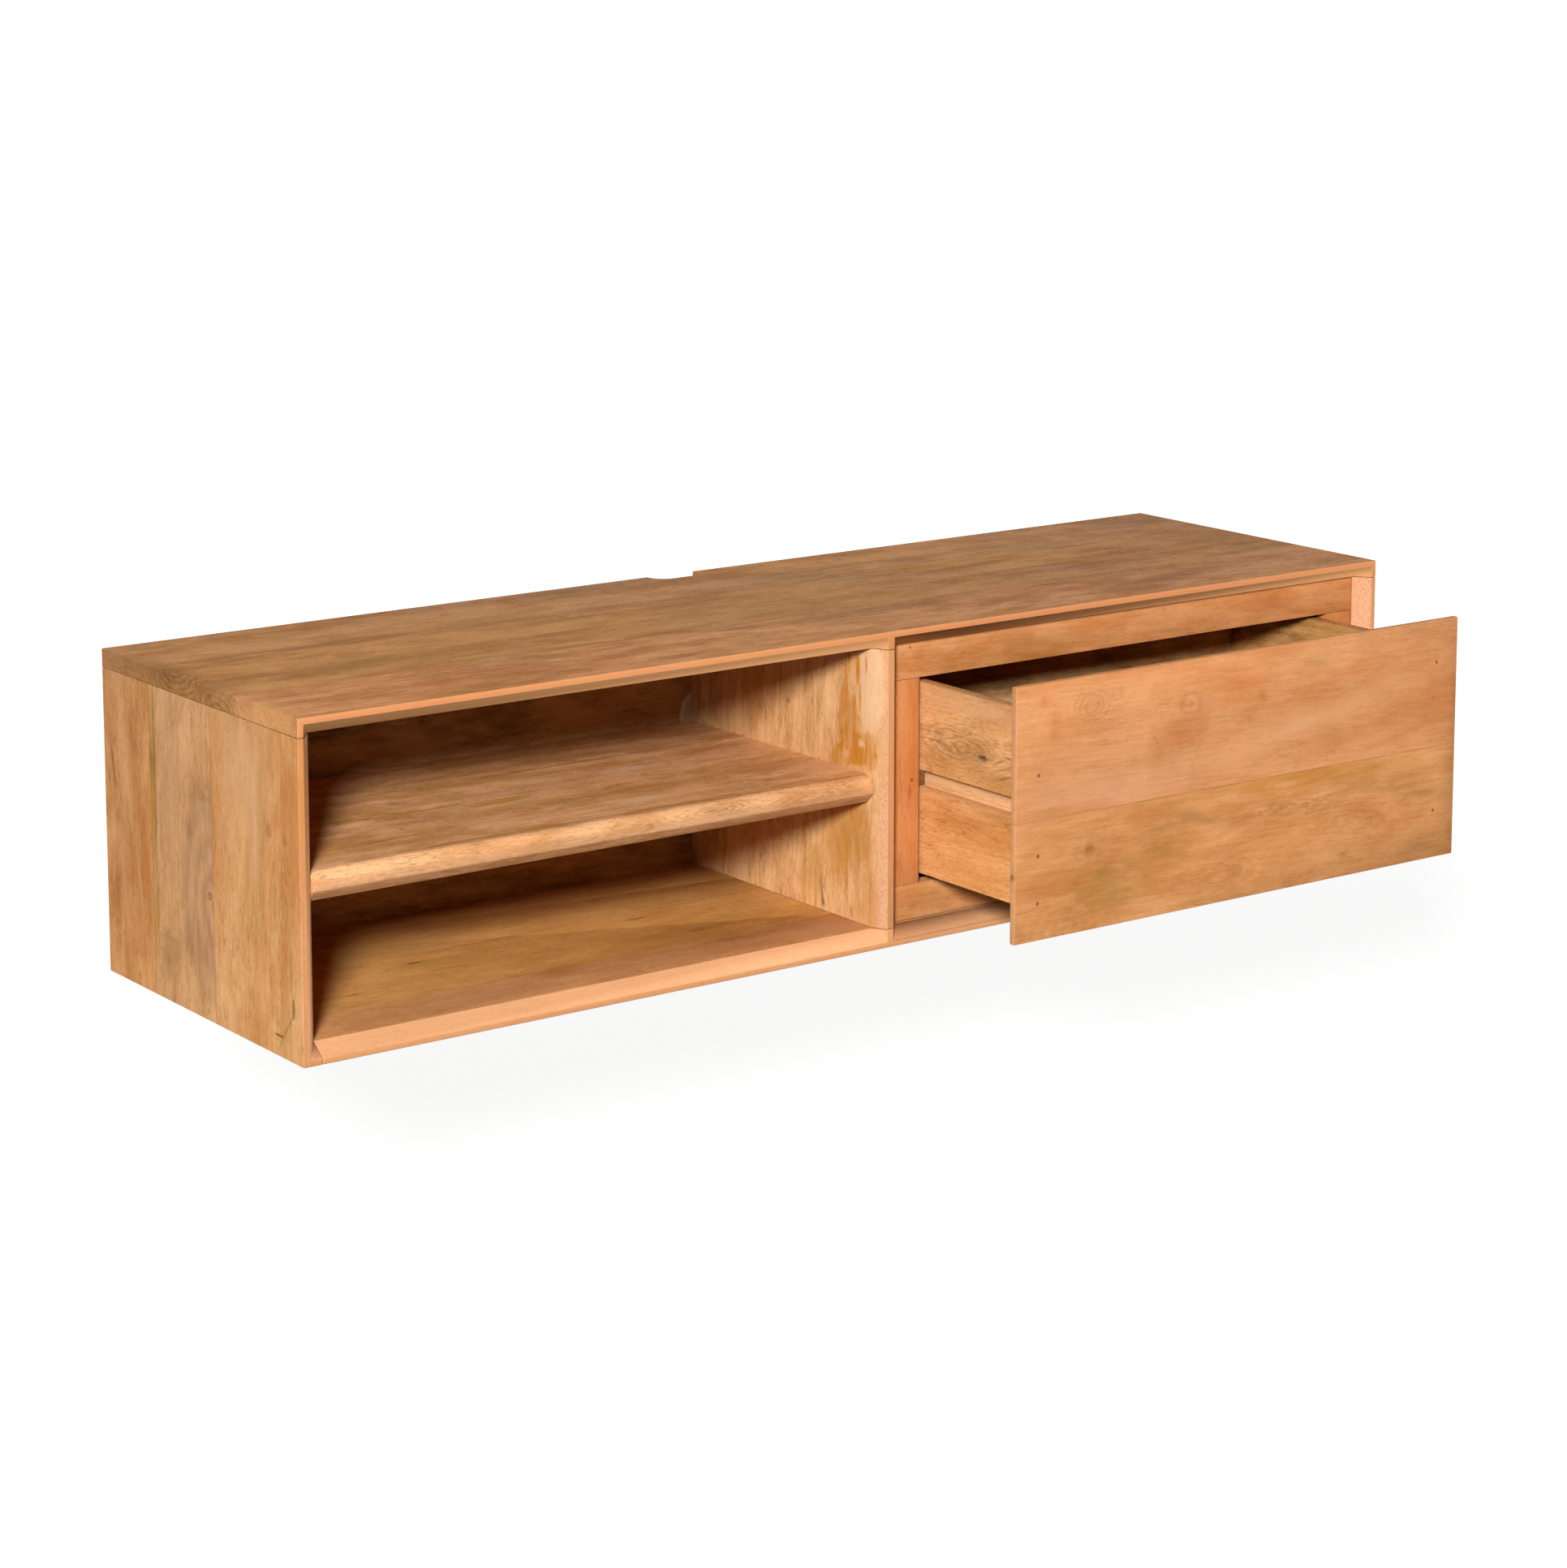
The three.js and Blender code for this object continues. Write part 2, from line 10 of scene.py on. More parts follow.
import json
import logging
import math
from dataclasses import dataclass, field
from enum import Enum
from typing import Any, Iterable, Sequence

import bmesh
import bpy
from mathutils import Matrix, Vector

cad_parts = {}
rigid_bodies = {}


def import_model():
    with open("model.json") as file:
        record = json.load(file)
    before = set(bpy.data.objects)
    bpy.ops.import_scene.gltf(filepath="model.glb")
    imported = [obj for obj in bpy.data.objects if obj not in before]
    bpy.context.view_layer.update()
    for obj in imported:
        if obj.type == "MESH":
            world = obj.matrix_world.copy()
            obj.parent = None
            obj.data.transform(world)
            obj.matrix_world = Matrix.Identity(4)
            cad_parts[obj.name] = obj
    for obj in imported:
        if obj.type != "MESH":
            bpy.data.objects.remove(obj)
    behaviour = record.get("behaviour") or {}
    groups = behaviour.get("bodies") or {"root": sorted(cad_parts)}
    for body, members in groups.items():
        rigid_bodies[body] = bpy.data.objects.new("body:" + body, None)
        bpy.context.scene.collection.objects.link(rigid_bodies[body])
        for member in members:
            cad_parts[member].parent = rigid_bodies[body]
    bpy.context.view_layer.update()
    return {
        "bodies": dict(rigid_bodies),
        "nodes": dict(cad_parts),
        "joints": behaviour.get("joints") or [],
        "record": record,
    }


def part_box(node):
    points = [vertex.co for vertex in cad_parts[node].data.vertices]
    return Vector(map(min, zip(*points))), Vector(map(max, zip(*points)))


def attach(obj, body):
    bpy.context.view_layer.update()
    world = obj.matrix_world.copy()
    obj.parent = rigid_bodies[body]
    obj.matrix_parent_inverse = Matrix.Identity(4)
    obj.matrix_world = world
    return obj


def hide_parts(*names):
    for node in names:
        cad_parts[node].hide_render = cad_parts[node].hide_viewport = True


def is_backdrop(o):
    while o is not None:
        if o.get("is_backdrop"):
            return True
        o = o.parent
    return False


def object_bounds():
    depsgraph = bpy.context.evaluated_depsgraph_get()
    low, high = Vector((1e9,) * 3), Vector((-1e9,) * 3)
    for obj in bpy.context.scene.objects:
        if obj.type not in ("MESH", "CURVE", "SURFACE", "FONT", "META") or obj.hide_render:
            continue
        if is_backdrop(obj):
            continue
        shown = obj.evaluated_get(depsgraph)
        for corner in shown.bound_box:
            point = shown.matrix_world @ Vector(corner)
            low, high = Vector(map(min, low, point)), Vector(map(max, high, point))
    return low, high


LOG = logging.getLogger("console")
MM = 0.001

Socket = bpy.types.NodeSocket
Input = Any  # a socket, or a plain value for one
BLACK = (0.0, 0.0, 0.0, 1.0)
WHITE = (1.0, 1.0, 1.0, 1.0)
NOTHING_MUCH = 1e-9
HEART_ZERO = 0.5  # a colour ramp holds no negative values, so the heart line's offsets are raised by this
STREAKY = (0.2, 0.8, 0.65, 1.0)  # marks take the wood's own streaks, down to 0.65 of their strength
FRAY_SCALE = (1.9, 1.9, 1.9)  # how fine a mark's ragged edge is, to its reach
SEAM = (0.8 * MM, 0.3)  # how wide and how dark a glued seam is
LINE_CORE = 0.2  # the share of a line's width that is fully dark
# colour of glued seams and of joint lines, which are partly painted shade
SEAM_AND_SHADE_TONE = "#5c3a20"
PIT_TONE = "#a8683e"
OILED_SPECULAR = 0.1
GRAIN_BUMP = (0.35, 0.4 * MM)
ZINC_BUMP = (0.12, 0.1 * MM)
CROSS_REACH = 1.15  # length of a screw's cross recess, to the head's radius
CROSS_WIDTH = 0.24  # its width, to the same
POINT_TAPER = 0.3  # radius of a shank's point, to the shank's


class Scale:
    """How fine each pattern in the wood is, in repeats per metre along and across the grain."""

    DRIFT = (1.3, 5.0, 5.0)
    WAVE = (6.0, 13.0, 13.0)
    MOTTLE = (14.0, 34.0, 34.0)
    CLOUD = (3.5, 10.0, 10.0)
    ROPE = (24.0, 130.0, 130.0)
    VEIN = (4.0, 26.0, 26.0)
    BLUSH = (6.0, 20.0, 20.0)
    CURL = (40.0, 9.0, 9.0)
    THREAD = (10.0, 62.0, 62.0)
    FIBRE = (16.0, 330.0, 330.0)
    PORE = (130.0, 640.0, 640.0)
    SPECK = (480.0, 480.0, 480.0)


class Span:
    """The value at which something starts to show, and the value at which it shows in full."""

    NOISE = (0.26, 0.74)  # nearly all of a noise's values lie in here
    END_FACE = (0.6, 0.9)  # end grain, by how far the face looks along the grain
    FLAT_FACE = (0.88, 0.97)  # the narrow front edge, by how far it looks forward
    SPLAY_FACE = (0.3, 0.5)  # and the slope behind it
    STREAK = (0.53, 0.66)
    FLUSH = (0.52, 0.68)
    PATCH = (-0.5, 0.7)
    THREAD = (0.0, 0.018)
    DASH = (0.57, 0.68)
    FLECK = (0.42, 0.30)
    SPECK = (0.52, 0.64)
    CRISP = (0.38, 0.56)  # the part of a soft mark's fall that becomes its edge


class Amount:
    """Fixed amounts in every timber's tone, gloss and relief."""

    SEED_STEP = 23.7  # how far apart two seeds' patterns lie, for seeds of 0 and 1
    FINE_LINES = 7.0  # fine lines in each ring band
    TONE = 0.45
    END_LINES = 0.5
    CLOUD = 0.8
    ROPE_IN_VEIN = 0.05
    FIBRE = -0.07
    FLECK = 0.6
    END_GRAIN = -0.10
    ROUGHNESS = 0.66
    MOTTLED_ROUGHNESS = 0.05
    PORE_ROUGHNESS = 0.2
    FIBRE_RELIEF = 0.35
    LINE_RELIEF = 0.15


def linear(code: str) -> tuple[float, float, float, float]:
    """Turns a written colour into the linear colour that a shader takes.

    Args:
        code: The colour as "#rrggbb".

    Returns:
        Linear red, green, blue and a full alpha.
    """
    parts = [int(code[i : i + 2], 16) / 255 for i in (1, 3, 5)]
    flat = [c / 12.92 if c <= 0.04045 else ((c + 0.055) / 1.055) ** 2.4 for c in parts]
    return (flat[0], flat[1], flat[2], 1.0)


class Axes(Enum):
    """How a board lies, as the axes along its grain, across its width and through its thickness."""

    LONG_FLAT = (0, 1, 2)
    LONG_UPRIGHT = (0, 2, 1)
    TALL_DEEP = (2, 1, 0)
    TALL_WIDE = (2, 0, 1)
    DEEP_UPRIGHT = (1, 2, 0)


class NodeSheet:
    """Adds nodes to one node tree in few words."""

    def __init__(self, tree: bpy.types.NodeTree) -> None:
        """Starts on a tree.

        Args:
            tree: The node tree to add to.
        """
        self.tree = tree

    def node(self, kind: str, **settings: Any) -> bpy.types.Node:
        """Adds a node.

        Args:
            kind: The node's type.
            **settings: Values for its properties.

        Returns:
            The new node.
        """
        made = self.tree.nodes.new(kind)
        for name, value in settings.items():
            setattr(made, name, value)
        return made

    def feed(self, socket: Socket, value: Input) -> None:
        """Links or sets an input, and leaves it alone where the value is None."""
        if isinstance(value, bpy.types.NodeSocket):
            self.tree.links.new(value, socket)
        elif value is not None:
            socket.default_value = value

    def math(self, operation: str, a: Input, b: Input = None, c: Input = None) -> Socket:
        """A Math node's result."""
        made = self.node("ShaderNodeMath", operation=operation)
        for socket, value in zip(made.inputs, (a, b, c)):
            self.feed(socket, value)
        return made.outputs[0]

    def vector(self, operation: str, a: Input, b: Input = None) -> Socket:
        """A Vector Math node's vector, or its value where it is a length."""
        made = self.node("ShaderNodeVectorMath", operation=operation)
        self.feed(made.inputs[0], a)
        self.feed(made.inputs[1], b)
        return made.outputs["Value" if operation in ("LENGTH", "DOT_PRODUCT") else "Vector"]

    def split(self, vector: Socket) -> Sequence[Socket]:
        """The three components of a vector."""
        made = self.node("ShaderNodeSeparateXYZ")
        self.feed(made.inputs[0], vector)
        return list(made.outputs)

    def join(self, x: Input, y: Input, z: Input) -> Socket:
        """A vector of three components."""
        made = self.node("ShaderNodeCombineXYZ")
        for socket, value in zip(made.inputs, (x, y, z)):
            self.feed(socket, value)
        return made.outputs[0]

    def remap(
        self, value: Socket, low: float, high: float, to_low: Input = 0.0, to_high: Input = 1.0
    ) -> Socket:
        """A value carried smoothly from one span to another.

        Args:
            value: What to carry over.
            low: The value that becomes to_low.
            high: The value that becomes to_high.
            to_low: Start of the new span.
            to_high: End of the new span.

        Returns:
            The result's socket.
        """
        made = self.node("ShaderNodeMapRange", interpolation_type="SMOOTHSTEP")
        for name, item in (("Value", value), ("From Min", low), ("From Max", high)):
            self.feed(made.inputs[name], item)
        self.feed(made.inputs["To Min"], to_low)
        self.feed(made.inputs["To Max"], to_high)
        return made.outputs[0]

    def mix(self, factor: Input, a: Input, b: Input, blend: str = "MIX") -> Socket:
        """A mix of two colours."""
        made = self.node("ShaderNodeMix", data_type="RGBA", blend_type=blend)
        self.feed(made.inputs[0], factor)
        self.feed(made.inputs[6], a)
        self.feed(made.inputs[7], b)
        return made.outputs[2]

    def noise(
        self, vector: Socket, scale: Sequence[float], detail: float = 2.0, roughness: float = 0.5
    ) -> bpy.types.Node:
        """A noise that is stretched by its own scale on each axis."""
        made = self.node("ShaderNodeTexNoise")
        self.feed(made.inputs["Vector"], self.vector("MULTIPLY", vector, tuple(scale)))
        self.feed(made.inputs["Scale"], 1.0)
        self.feed(made.inputs["Detail"], detail)
        self.feed(made.inputs["Roughness"], roughness)
        return made

    def warp(self, vector: Socket, scale: Sequence[float], size: Input, detail: float = 2.0) -> Socket:
        """A smooth random push of about a given size."""
        flow = self.node("ShaderNodeSeparateColor")
        self.feed(flow.inputs[0], self.noise(vector, scale, detail).outputs["Color"])
        scaled = self.node("ShaderNodeVectorMath", operation="SCALE")
        self.feed(scaled.inputs[0], self.vector("SUBTRACT", self.join(*flow.outputs), (0.5, 0.5, 0.5)))
        self.feed(scaled.inputs["Scale"], size)
        return scaled.outputs["Vector"]

    def wobble(self, value: Socket, scale: float, detail: float) -> Socket:
        """A noise along one value."""
        made = self.node("ShaderNodeTexNoise", noise_dimensions="1D")
        self.feed(made.inputs["W"], value)
        self.feed(made.inputs["Scale"], scale)
        self.feed(made.inputs["Detail"], detail)
        return made.outputs[0]

    def centred(self, noise: Socket) -> Socket:
        """A noise spread out to run from -1 to 1."""
        return self.remap(noise, *Span.NOISE, -1.0, 1.0)

    def steps(self, factor: Socket, stops: Sequence[tuple[float, Sequence[float]]]) -> bpy.types.Node:
        """A colour ramp that holds each stop's colour up to the next stop."""
        made = self.node("ShaderNodeValToRGB")
        ramp = made.color_ramp
        ramp.interpolation = "CONSTANT"
        while len(ramp.elements) < len(stops):
            ramp.elements.new(1.0)
        while len(ramp.elements) > len(stops):
            ramp.elements.remove(ramp.elements[-1])
        for element, (place, colour) in zip(ramp.elements, stops):
            element.position = place
            element.color = colour
        self.feed(made.inputs[0], factor)
        return made

    def bump(self, height: Socket, strength: float, distance: float) -> Socket:
        """A normal from a height."""
        made = self.node("ShaderNodeBump")
        self.feed(made.inputs["Strength"], strength)
        self.feed(made.inputs["Distance"], distance)
        self.feed(made.inputs["Height"], height)
        return made.outputs[0]

    def seen(self) -> Socket:
        """Is 1 for what the camera sees directly, through glass or in a reflection."""
        path = self.node("ShaderNodeLightPath")
        direct = self.math("MAXIMUM", path.outputs["Is Camera Ray"], path.outputs["Is Transmission Ray"])
        return self.math("MAXIMUM", direct, path.outputs["Is Glossy Ray"])

    def place(self, tree: bpy.types.NodeTree, **values: Input) -> bpy.types.Node:
        """Adds a group node and feeds its inputs, whose names have spaces where these have underscores."""
        made = self.node("ShaderNodeGroup", node_tree=tree)
        for name, value in values.items():
            self.feed(made.inputs[name.replace("_", " ")], value)
        return made


def new_group(
    name: str, inputs: Iterable[tuple[str, str, Any]], outputs: Iterable[tuple[str, str]]
) -> tuple[NodeSheet, dict, dict]:
    """Starts a shader node group.

    Args:
        name: The group's name.
        inputs: Name, kind and first value of each input.
        outputs: Name and kind of each output.

    Returns:
        The sheet to build it on, its inputs' sockets and its outputs' sockets, by name.
    """
    tree = bpy.data.node_groups.new(name, "ShaderNodeTree")
    for label, kind, value in inputs:
        socket = tree.interface.new_socket(label, in_out="INPUT", socket_type="NodeSocket" + kind)
        if value is not None:
            socket.default_value = value
    for label, kind in outputs:
        tree.interface.new_socket(label, in_out="OUTPUT", socket_type="NodeSocket" + kind)
    sheet = NodeSheet(tree)
    entry = sheet.node("NodeGroupInput")
    leaving = sheet.node("NodeGroupOutput")
    return sheet, {s.name: s for s in entry.outputs if s.name}, {s.name: s for s in leaving.inputs if s.name}


def timber_group() -> bpy.types.NodeTree:
    """Solid timber: X runs along the grain, and the heart of the tree lies on the X axis.

    Returns:
        The node group, which gives Colour, Figure, Stipple, Roughness and Height. Figure is the
        wood's streaks alone, from 0 to 1.
    """
    sheet, have, give = new_group(
        "solid timber",
        [
            ("Place", "Vector", None),
            ("Seed", "Float", 0.0),
            ("Lift", "Float", 0.0),
            ("End Grain", "Float", 0.0),
            ("Stipple", "Float", 0.0),
            ("Light", "Color", linear("#e0a070")),
            ("Dark", "Color", linear("#b87848")),
            ("Vein", "Color", linear("#8a6038")),
            ("Blush", "Color", linear("#c07040")),
            ("Ring Width", "Float", 0.02),
            ("Wander", "Float", 0.03),
            ("Wave", "Float", 0.02),
            ("Bands", "Float", 0.4),
            ("Lines", "Float", 0.3),
            ("Mottle", "Float", 0.5),
            ("Ropes", "Float", 0.3),
            ("Veins", "Float", 0.3),
            ("Blushes", "Float", 0.3),
            ("Threads", "Float", 0.3),
            ("Curl", "Float", 0.1),
            ("Pores", "Float", 0.2),
        ],
        [
            ("Colour", "Color"),
            ("Figure", "Float"),
            ("Stipple", "Float"),
            ("Roughness", "Float"),
            ("Height", "Float"),
        ],
    )
    place = have["Place"]
    shift = sheet.math("MULTIPLY", have["Seed"], Amount.SEED_STEP)
    away = sheet.join(shift, shift, shift)
    spot = sheet.vector("ADD", place, away)

    drift = sheet.warp(spot, Scale.DRIFT, have["Wander"])
    wave = sheet.warp(spot, Scale.WAVE, have["Wave"])
    bent = sheet.vector("ADD", sheet.vector("ADD", place, drift), wave)
    woven = sheet.vector("ADD", bent, away)

    radius = sheet.vector("LENGTH", sheet.vector("MULTIPLY", bent, (0.0, 1.0, 1.0)))
    reach = sheet.math("ADD", radius, have["Lift"])
    turn = sheet.math("ADD", sheet.math("DIVIDE", reach, have["Ring Width"]), shift)
    band = sheet.centred(sheet.wobble(turn, 1.0, 2.0))
    line = sheet.centred(sheet.wobble(turn, Amount.FINE_LINES, 2.0))
    mottle = sheet.centred(sheet.noise(woven, Scale.MOTTLE, 5.0, 0.62).outputs[0])
    cloud = sheet.centred(sheet.noise(spot, Scale.CLOUD, 3.0).outputs[0])
    rope = sheet.centred(sheet.noise(woven, Scale.ROPE, 4.0, 0.6).outputs[0])

    tone = sheet.math("MULTIPLY_ADD", band, have["Bands"], Amount.TONE)
    end_lines = sheet.math("MULTIPLY_ADD", have["End Grain"], Amount.END_LINES, have["Lines"])
    tone = sheet.math("MULTIPLY_ADD", line, end_lines, tone)
    tone = sheet.math("MULTIPLY_ADD", mottle, have["Mottle"], tone)
    tone = sheet.math("MULTIPLY_ADD", cloud, sheet.math("MULTIPLY", have["Mottle"], Amount.CLOUD), tone)
    tone = sheet.math("MULTIPLY_ADD", rope, have["Ropes"], tone)
    colour = sheet.mix(tone, have["Light"], have["Dark"])

    vein = sheet.noise(sheet.vector("ADD", woven, (7.7, 0.0, 0.0)), Scale.VEIN, 5.0, 0.6)
    roped = sheet.math("MULTIPLY_ADD", rope, Amount.ROPE_IN_VEIN, vein.outputs[0])
    streak = sheet.remap(roped, *Span.STREAK)
    colour = sheet.mix(sheet.math("MULTIPLY", streak, have["Veins"]), colour, have["Vein"])
    blush = sheet.noise(sheet.vector("ADD", woven, (3.1, 0.0, 0.0)), Scale.BLUSH, 5.0, 0.6)
    flush = sheet.remap(blush.outputs[0], *Span.FLUSH)
    colour = sheet.mix(sheet.math("MULTIPLY", flush, have["Blushes"]), colour, have["Blush"])

    curl = sheet.centred(sheet.noise(bent, Scale.CURL, 1.0).outputs[0])
    contour = sheet.noise(woven, Scale.THREAD, 3.0, 0.55).outputs[0]
    edge = sheet.math("ABSOLUTE", sheet.math("SUBTRACT", contour, 0.5))
    patch = sheet.remap(sheet.math("SUBTRACT", mottle, cloud), *Span.PATCH)
    thread = sheet.math("MULTIPLY", sheet.remap(edge, *Span.THREAD, 1.0, 0.0), patch)
    fibre = sheet.centred(sheet.noise(spot, Scale.FIBRE, 3.0, 0.6).outputs[0])
    pore = sheet.noise(spot, Scale.PORE, 1.0, 0.5).outputs[0]
    dash = sheet.remap(pore, *Span.DASH)
    fleck = sheet.remap(pore, *Span.FLECK)
    speck = sheet.remap(sheet.noise(spot, Scale.SPECK, 2.0, 0.5).outputs[0], *Span.SPECK)
    level = sheet.math("MULTIPLY_ADD", sheet.math("MULTIPLY", curl, cloud), have["Curl"], 1.0)
    level = sheet.math("MULTIPLY_ADD", fibre, Amount.FIBRE, level)
    level = sheet.math("MULTIPLY_ADD", thread, sheet.math("MULTIPLY", have["Threads"], -1.0), level)
    level = sheet.math("MULTIPLY_ADD", dash, sheet.math("MULTIPLY", have["Pores"], -1.0), level)
    level = sheet.math("MULTIPLY_ADD", fleck, sheet.math("MULTIPLY", have["Pores"], Amount.FLECK), level)
    level = sheet.math("MULTIPLY_ADD", have["End Grain"], Amount.END_GRAIN, level)
    lit = sheet.join(level, level, level)
    colour = sheet.mix(1.0, colour, lit, blend="MULTIPLY")
    stipple = sheet.math("MULTIPLY", speck, have["Stipple"])
    sheet.feed(give["Figure"], sheet.math("MULTIPLY_ADD", rope, 0.5, 0.5))
    sheet.feed(give["Colour"], colour)
    sheet.feed(give["Stipple"], stipple)

    dull = sheet.math("MULTIPLY_ADD", mottle, Amount.MOTTLED_ROUGHNESS, Amount.ROUGHNESS)
    sheet.feed(give["Roughness"], sheet.math("MULTIPLY_ADD", dash, Amount.PORE_ROUGHNESS, dull))
    grain = sheet.math("MULTIPLY_ADD", dash, -1.0, sheet.math("MULTIPLY", fibre, Amount.FIBRE_RELIEF))
    grain = sheet.math("MULTIPLY_ADD", stipple, -1.0, grain)
    sheet.feed(give["Height"], sheet.math("MULTIPLY_ADD", line, Amount.LINE_RELIEF, grain))
    return sheet.tree


def blemish_group() -> bpy.types.NodeTree:
    """A spot or streak in the wood, such as a knot, a check or a stain.

    Returns:
        The node group, whose Mask is 1 in the spot's middle. Next is the place again, which the next
        mark takes: so a renderer with a small stack works the marks out one after another.
    """
    sheet, have, give = new_group(
        "blemish",
        [
            ("Place", "Vector", None),
            ("Centre", "Vector", None),
            ("Reach", "Vector", (0.01, 0.01, 0.01)),
            ("Run", "Vector", (0.0, 0.0, 0.0)),
            ("Length", "Float", 1.0),
            ("Fray", "Float", 0.3),
            ("Rings", "Float", 0.0),
            ("Edge", "Float", 0.0),
        ],
        [("Mask", "Float"), ("Next", "Vector")],
    )
    offset = sheet.vector("SUBTRACT", have["Place"], have["Centre"])
    travel = sheet.math("DIVIDE", sheet.vector("DOT_PRODUCT", offset, have["Run"]), have["Length"])
    endways = sheet.vector("MULTIPLY", have["Run"], sheet.join(travel, travel, travel))
    spent = sheet.math("MULTIPLY", travel, have["Length"])
    run = sheet.vector("MULTIPLY", have["Run"], sheet.join(spent, spent, spent))
    sideways = sheet.vector("DIVIDE", sheet.vector("SUBTRACT", offset, run), have["Reach"])
    away = sheet.vector("ADD", sideways, endways)
    ragged = sheet.warp(away, FRAY_SCALE, have["Fray"], 3.0)
    distance = sheet.vector("LENGTH", sheet.vector("ADD", away, ragged))
    soft = sheet.math("EXPONENT", sheet.math("MULTIPLY", sheet.math("MULTIPLY", distance, distance), -1.0))
    crisp = sheet.remap(soft, *Span.CRISP)
    gap = sheet.math("SUBTRACT", crisp, soft)
    mask = sheet.math("MULTIPLY_ADD", gap, have["Edge"], soft)
    turns = sheet.math("MULTIPLY", distance, sheet.math("MULTIPLY", have["Rings"], math.tau))
    ring = sheet.math("MULTIPLY_ADD", sheet.math("COSINE", turns), 0.5, 0.5)
    mask = sheet.math("MULTIPLY", mask, ring)
    sheet.feed(give["Mask"], mask)
    crumb = sheet.math("MULTIPLY", mask, NOTHING_MUCH)
    sheet.feed(give["Next"], sheet.vector("ADD", have["Place"], sheet.join(crumb, crumb, crumb)))
    return sheet.tree


def zinc_group() -> bpy.types.NodeTree:
    """The cloudy dullness of zinc plate.

    Returns:
        The node group, which gives Colour, Roughness and Height.
    """
    sheet, have, give = new_group(
        "zinc plate",
        [("Place", "Vector", None), ("Base", "Color", linear("#b9bcc0"))],
        [("Colour", "Color"), ("Roughness", "Float"), ("Height", "Float")],
    )
    cloud = sheet.noise(have["Place"], (180.0, 180.0, 180.0), detail=4.0)
    scratch = sheet.noise(have["Place"], (2600.0, 2600.0, 240.0), detail=1.0)
    level = sheet.remap(cloud.outputs[0], 0.25, 0.75, 0.84, 1.0)
    grey = sheet.join(level, level, level)
    sheet.feed(give["Colour"], sheet.mix(1.0, have["Base"], grey, blend="MULTIPLY"))
    sheet.feed(give["Roughness"], sheet.remap(cloud.outputs[0], 0.3, 0.7, 0.24, 0.42))
    sheet.feed(give["Height"], scratch.outputs[0])
    return sheet.tree


@dataclass(frozen=True)
class Groups:
    """The shader groups that the materials share."""

    timber: bpy.types.NodeTree
    blemish: bpy.types.NodeTree
    zinc: bpy.types.NodeTree

    @classmethod
    def build(cls) -> Groups:
        """Builds each group once."""
        return cls(timber_group(), blemish_group(), zinc_group())


@dataclass(frozen=True)
class Plank:
    """One plank of a glued-up board.

    Attributes:
        share: Where it ends, as a share of the board's width from its low side.
        light: Colour of its pale bands.
        dark: Colour of its dark bands.
        heart: Where the tree's heart lay, across and through, from the board's middle.
        seed: Picks its pattern, from 0 to 1.
    """

    share: float
    light: str
    dark: str
    heart: tuple[float, float] = (0.0, -0.05)
    seed: float = 0.3


@dataclass(frozen=True)
class Blemish:
    """A knot, check or stain at its place in the cabinet.

    Attributes:
        centre: Its middle.
        reach: How far it spreads on each axis.
        colour: What it stains the wood, or None where it only bends the rings.
        strength: How strong the stain is.
        lift: How far it pushes the rings out, which draws them round it.
        fray: How ragged it is.
        rings: How many rings it is drawn in.
        edge: How crisp its outline is, from 0 to 1.
        run: The direction of a streak, or None.
        length: Half the length of a streak.
        held: Whether it ends at the seams of its own plank.
    """

    centre: tuple[float, float, float]
    reach: tuple[float, float, float]
    colour: str | None = "#4a2c18"
    strength: float = 0.8
    lift: float = 0.0
    fray: float = 0.4
    rings: float = 0.0
    edge: float = 0.0
    run: tuple[float, float, float] | None = None
    length: float = 1.0
    held: bool = False


@dataclass(frozen=True)
class Face:
    """A face of a board, on which marks are placed by their two coordinates.

    Attributes:
        axis: The axis that it looks along.
        place: Where it is on that axis.
        depth: How far its marks spread into the wood.
        held: Whether its marks end at the seams of their own planks.
    """

    axis: int
    place: float
    depth: float = 0.02
    held: bool = False

    def mark(
        self,
        first: float,
        second: float,
        wide: float,
        high: float,
        colour: str,
        strength: float,
        lift: float = 0.0,
        fray: float = 0.4,
        rings: float = 0.0,
        deep: float | None = None,
        **more: Any,
    ) -> Blemish:
        """Puts a mark on the face.

        Args:
            first: Its middle on the first of the face's two axes.
            second: Its middle on the second.
            wide: Its reach on the first.
            high: Its reach on the second.
            colour: What it stains the wood.
            strength: How strong the stain is.
            lift: How far it pushes the rings out.
            fray: How ragged it is.
            rings: How many rings it is drawn in.
            deep: Its reach into the wood, where that isn't the face's own.
            **more: Other values of the mark.

        Returns:
            The mark.
        """
        centre = [first, second]
        centre.insert(self.axis, self.place)
        reach = [wide, high]
        reach.insert(self.axis, self.depth if deep is None else deep)
        more = {"held": self.held, **more}
        return Blemish(tuple(centre), tuple(reach), colour, strength, lift, fray, rings, **more)


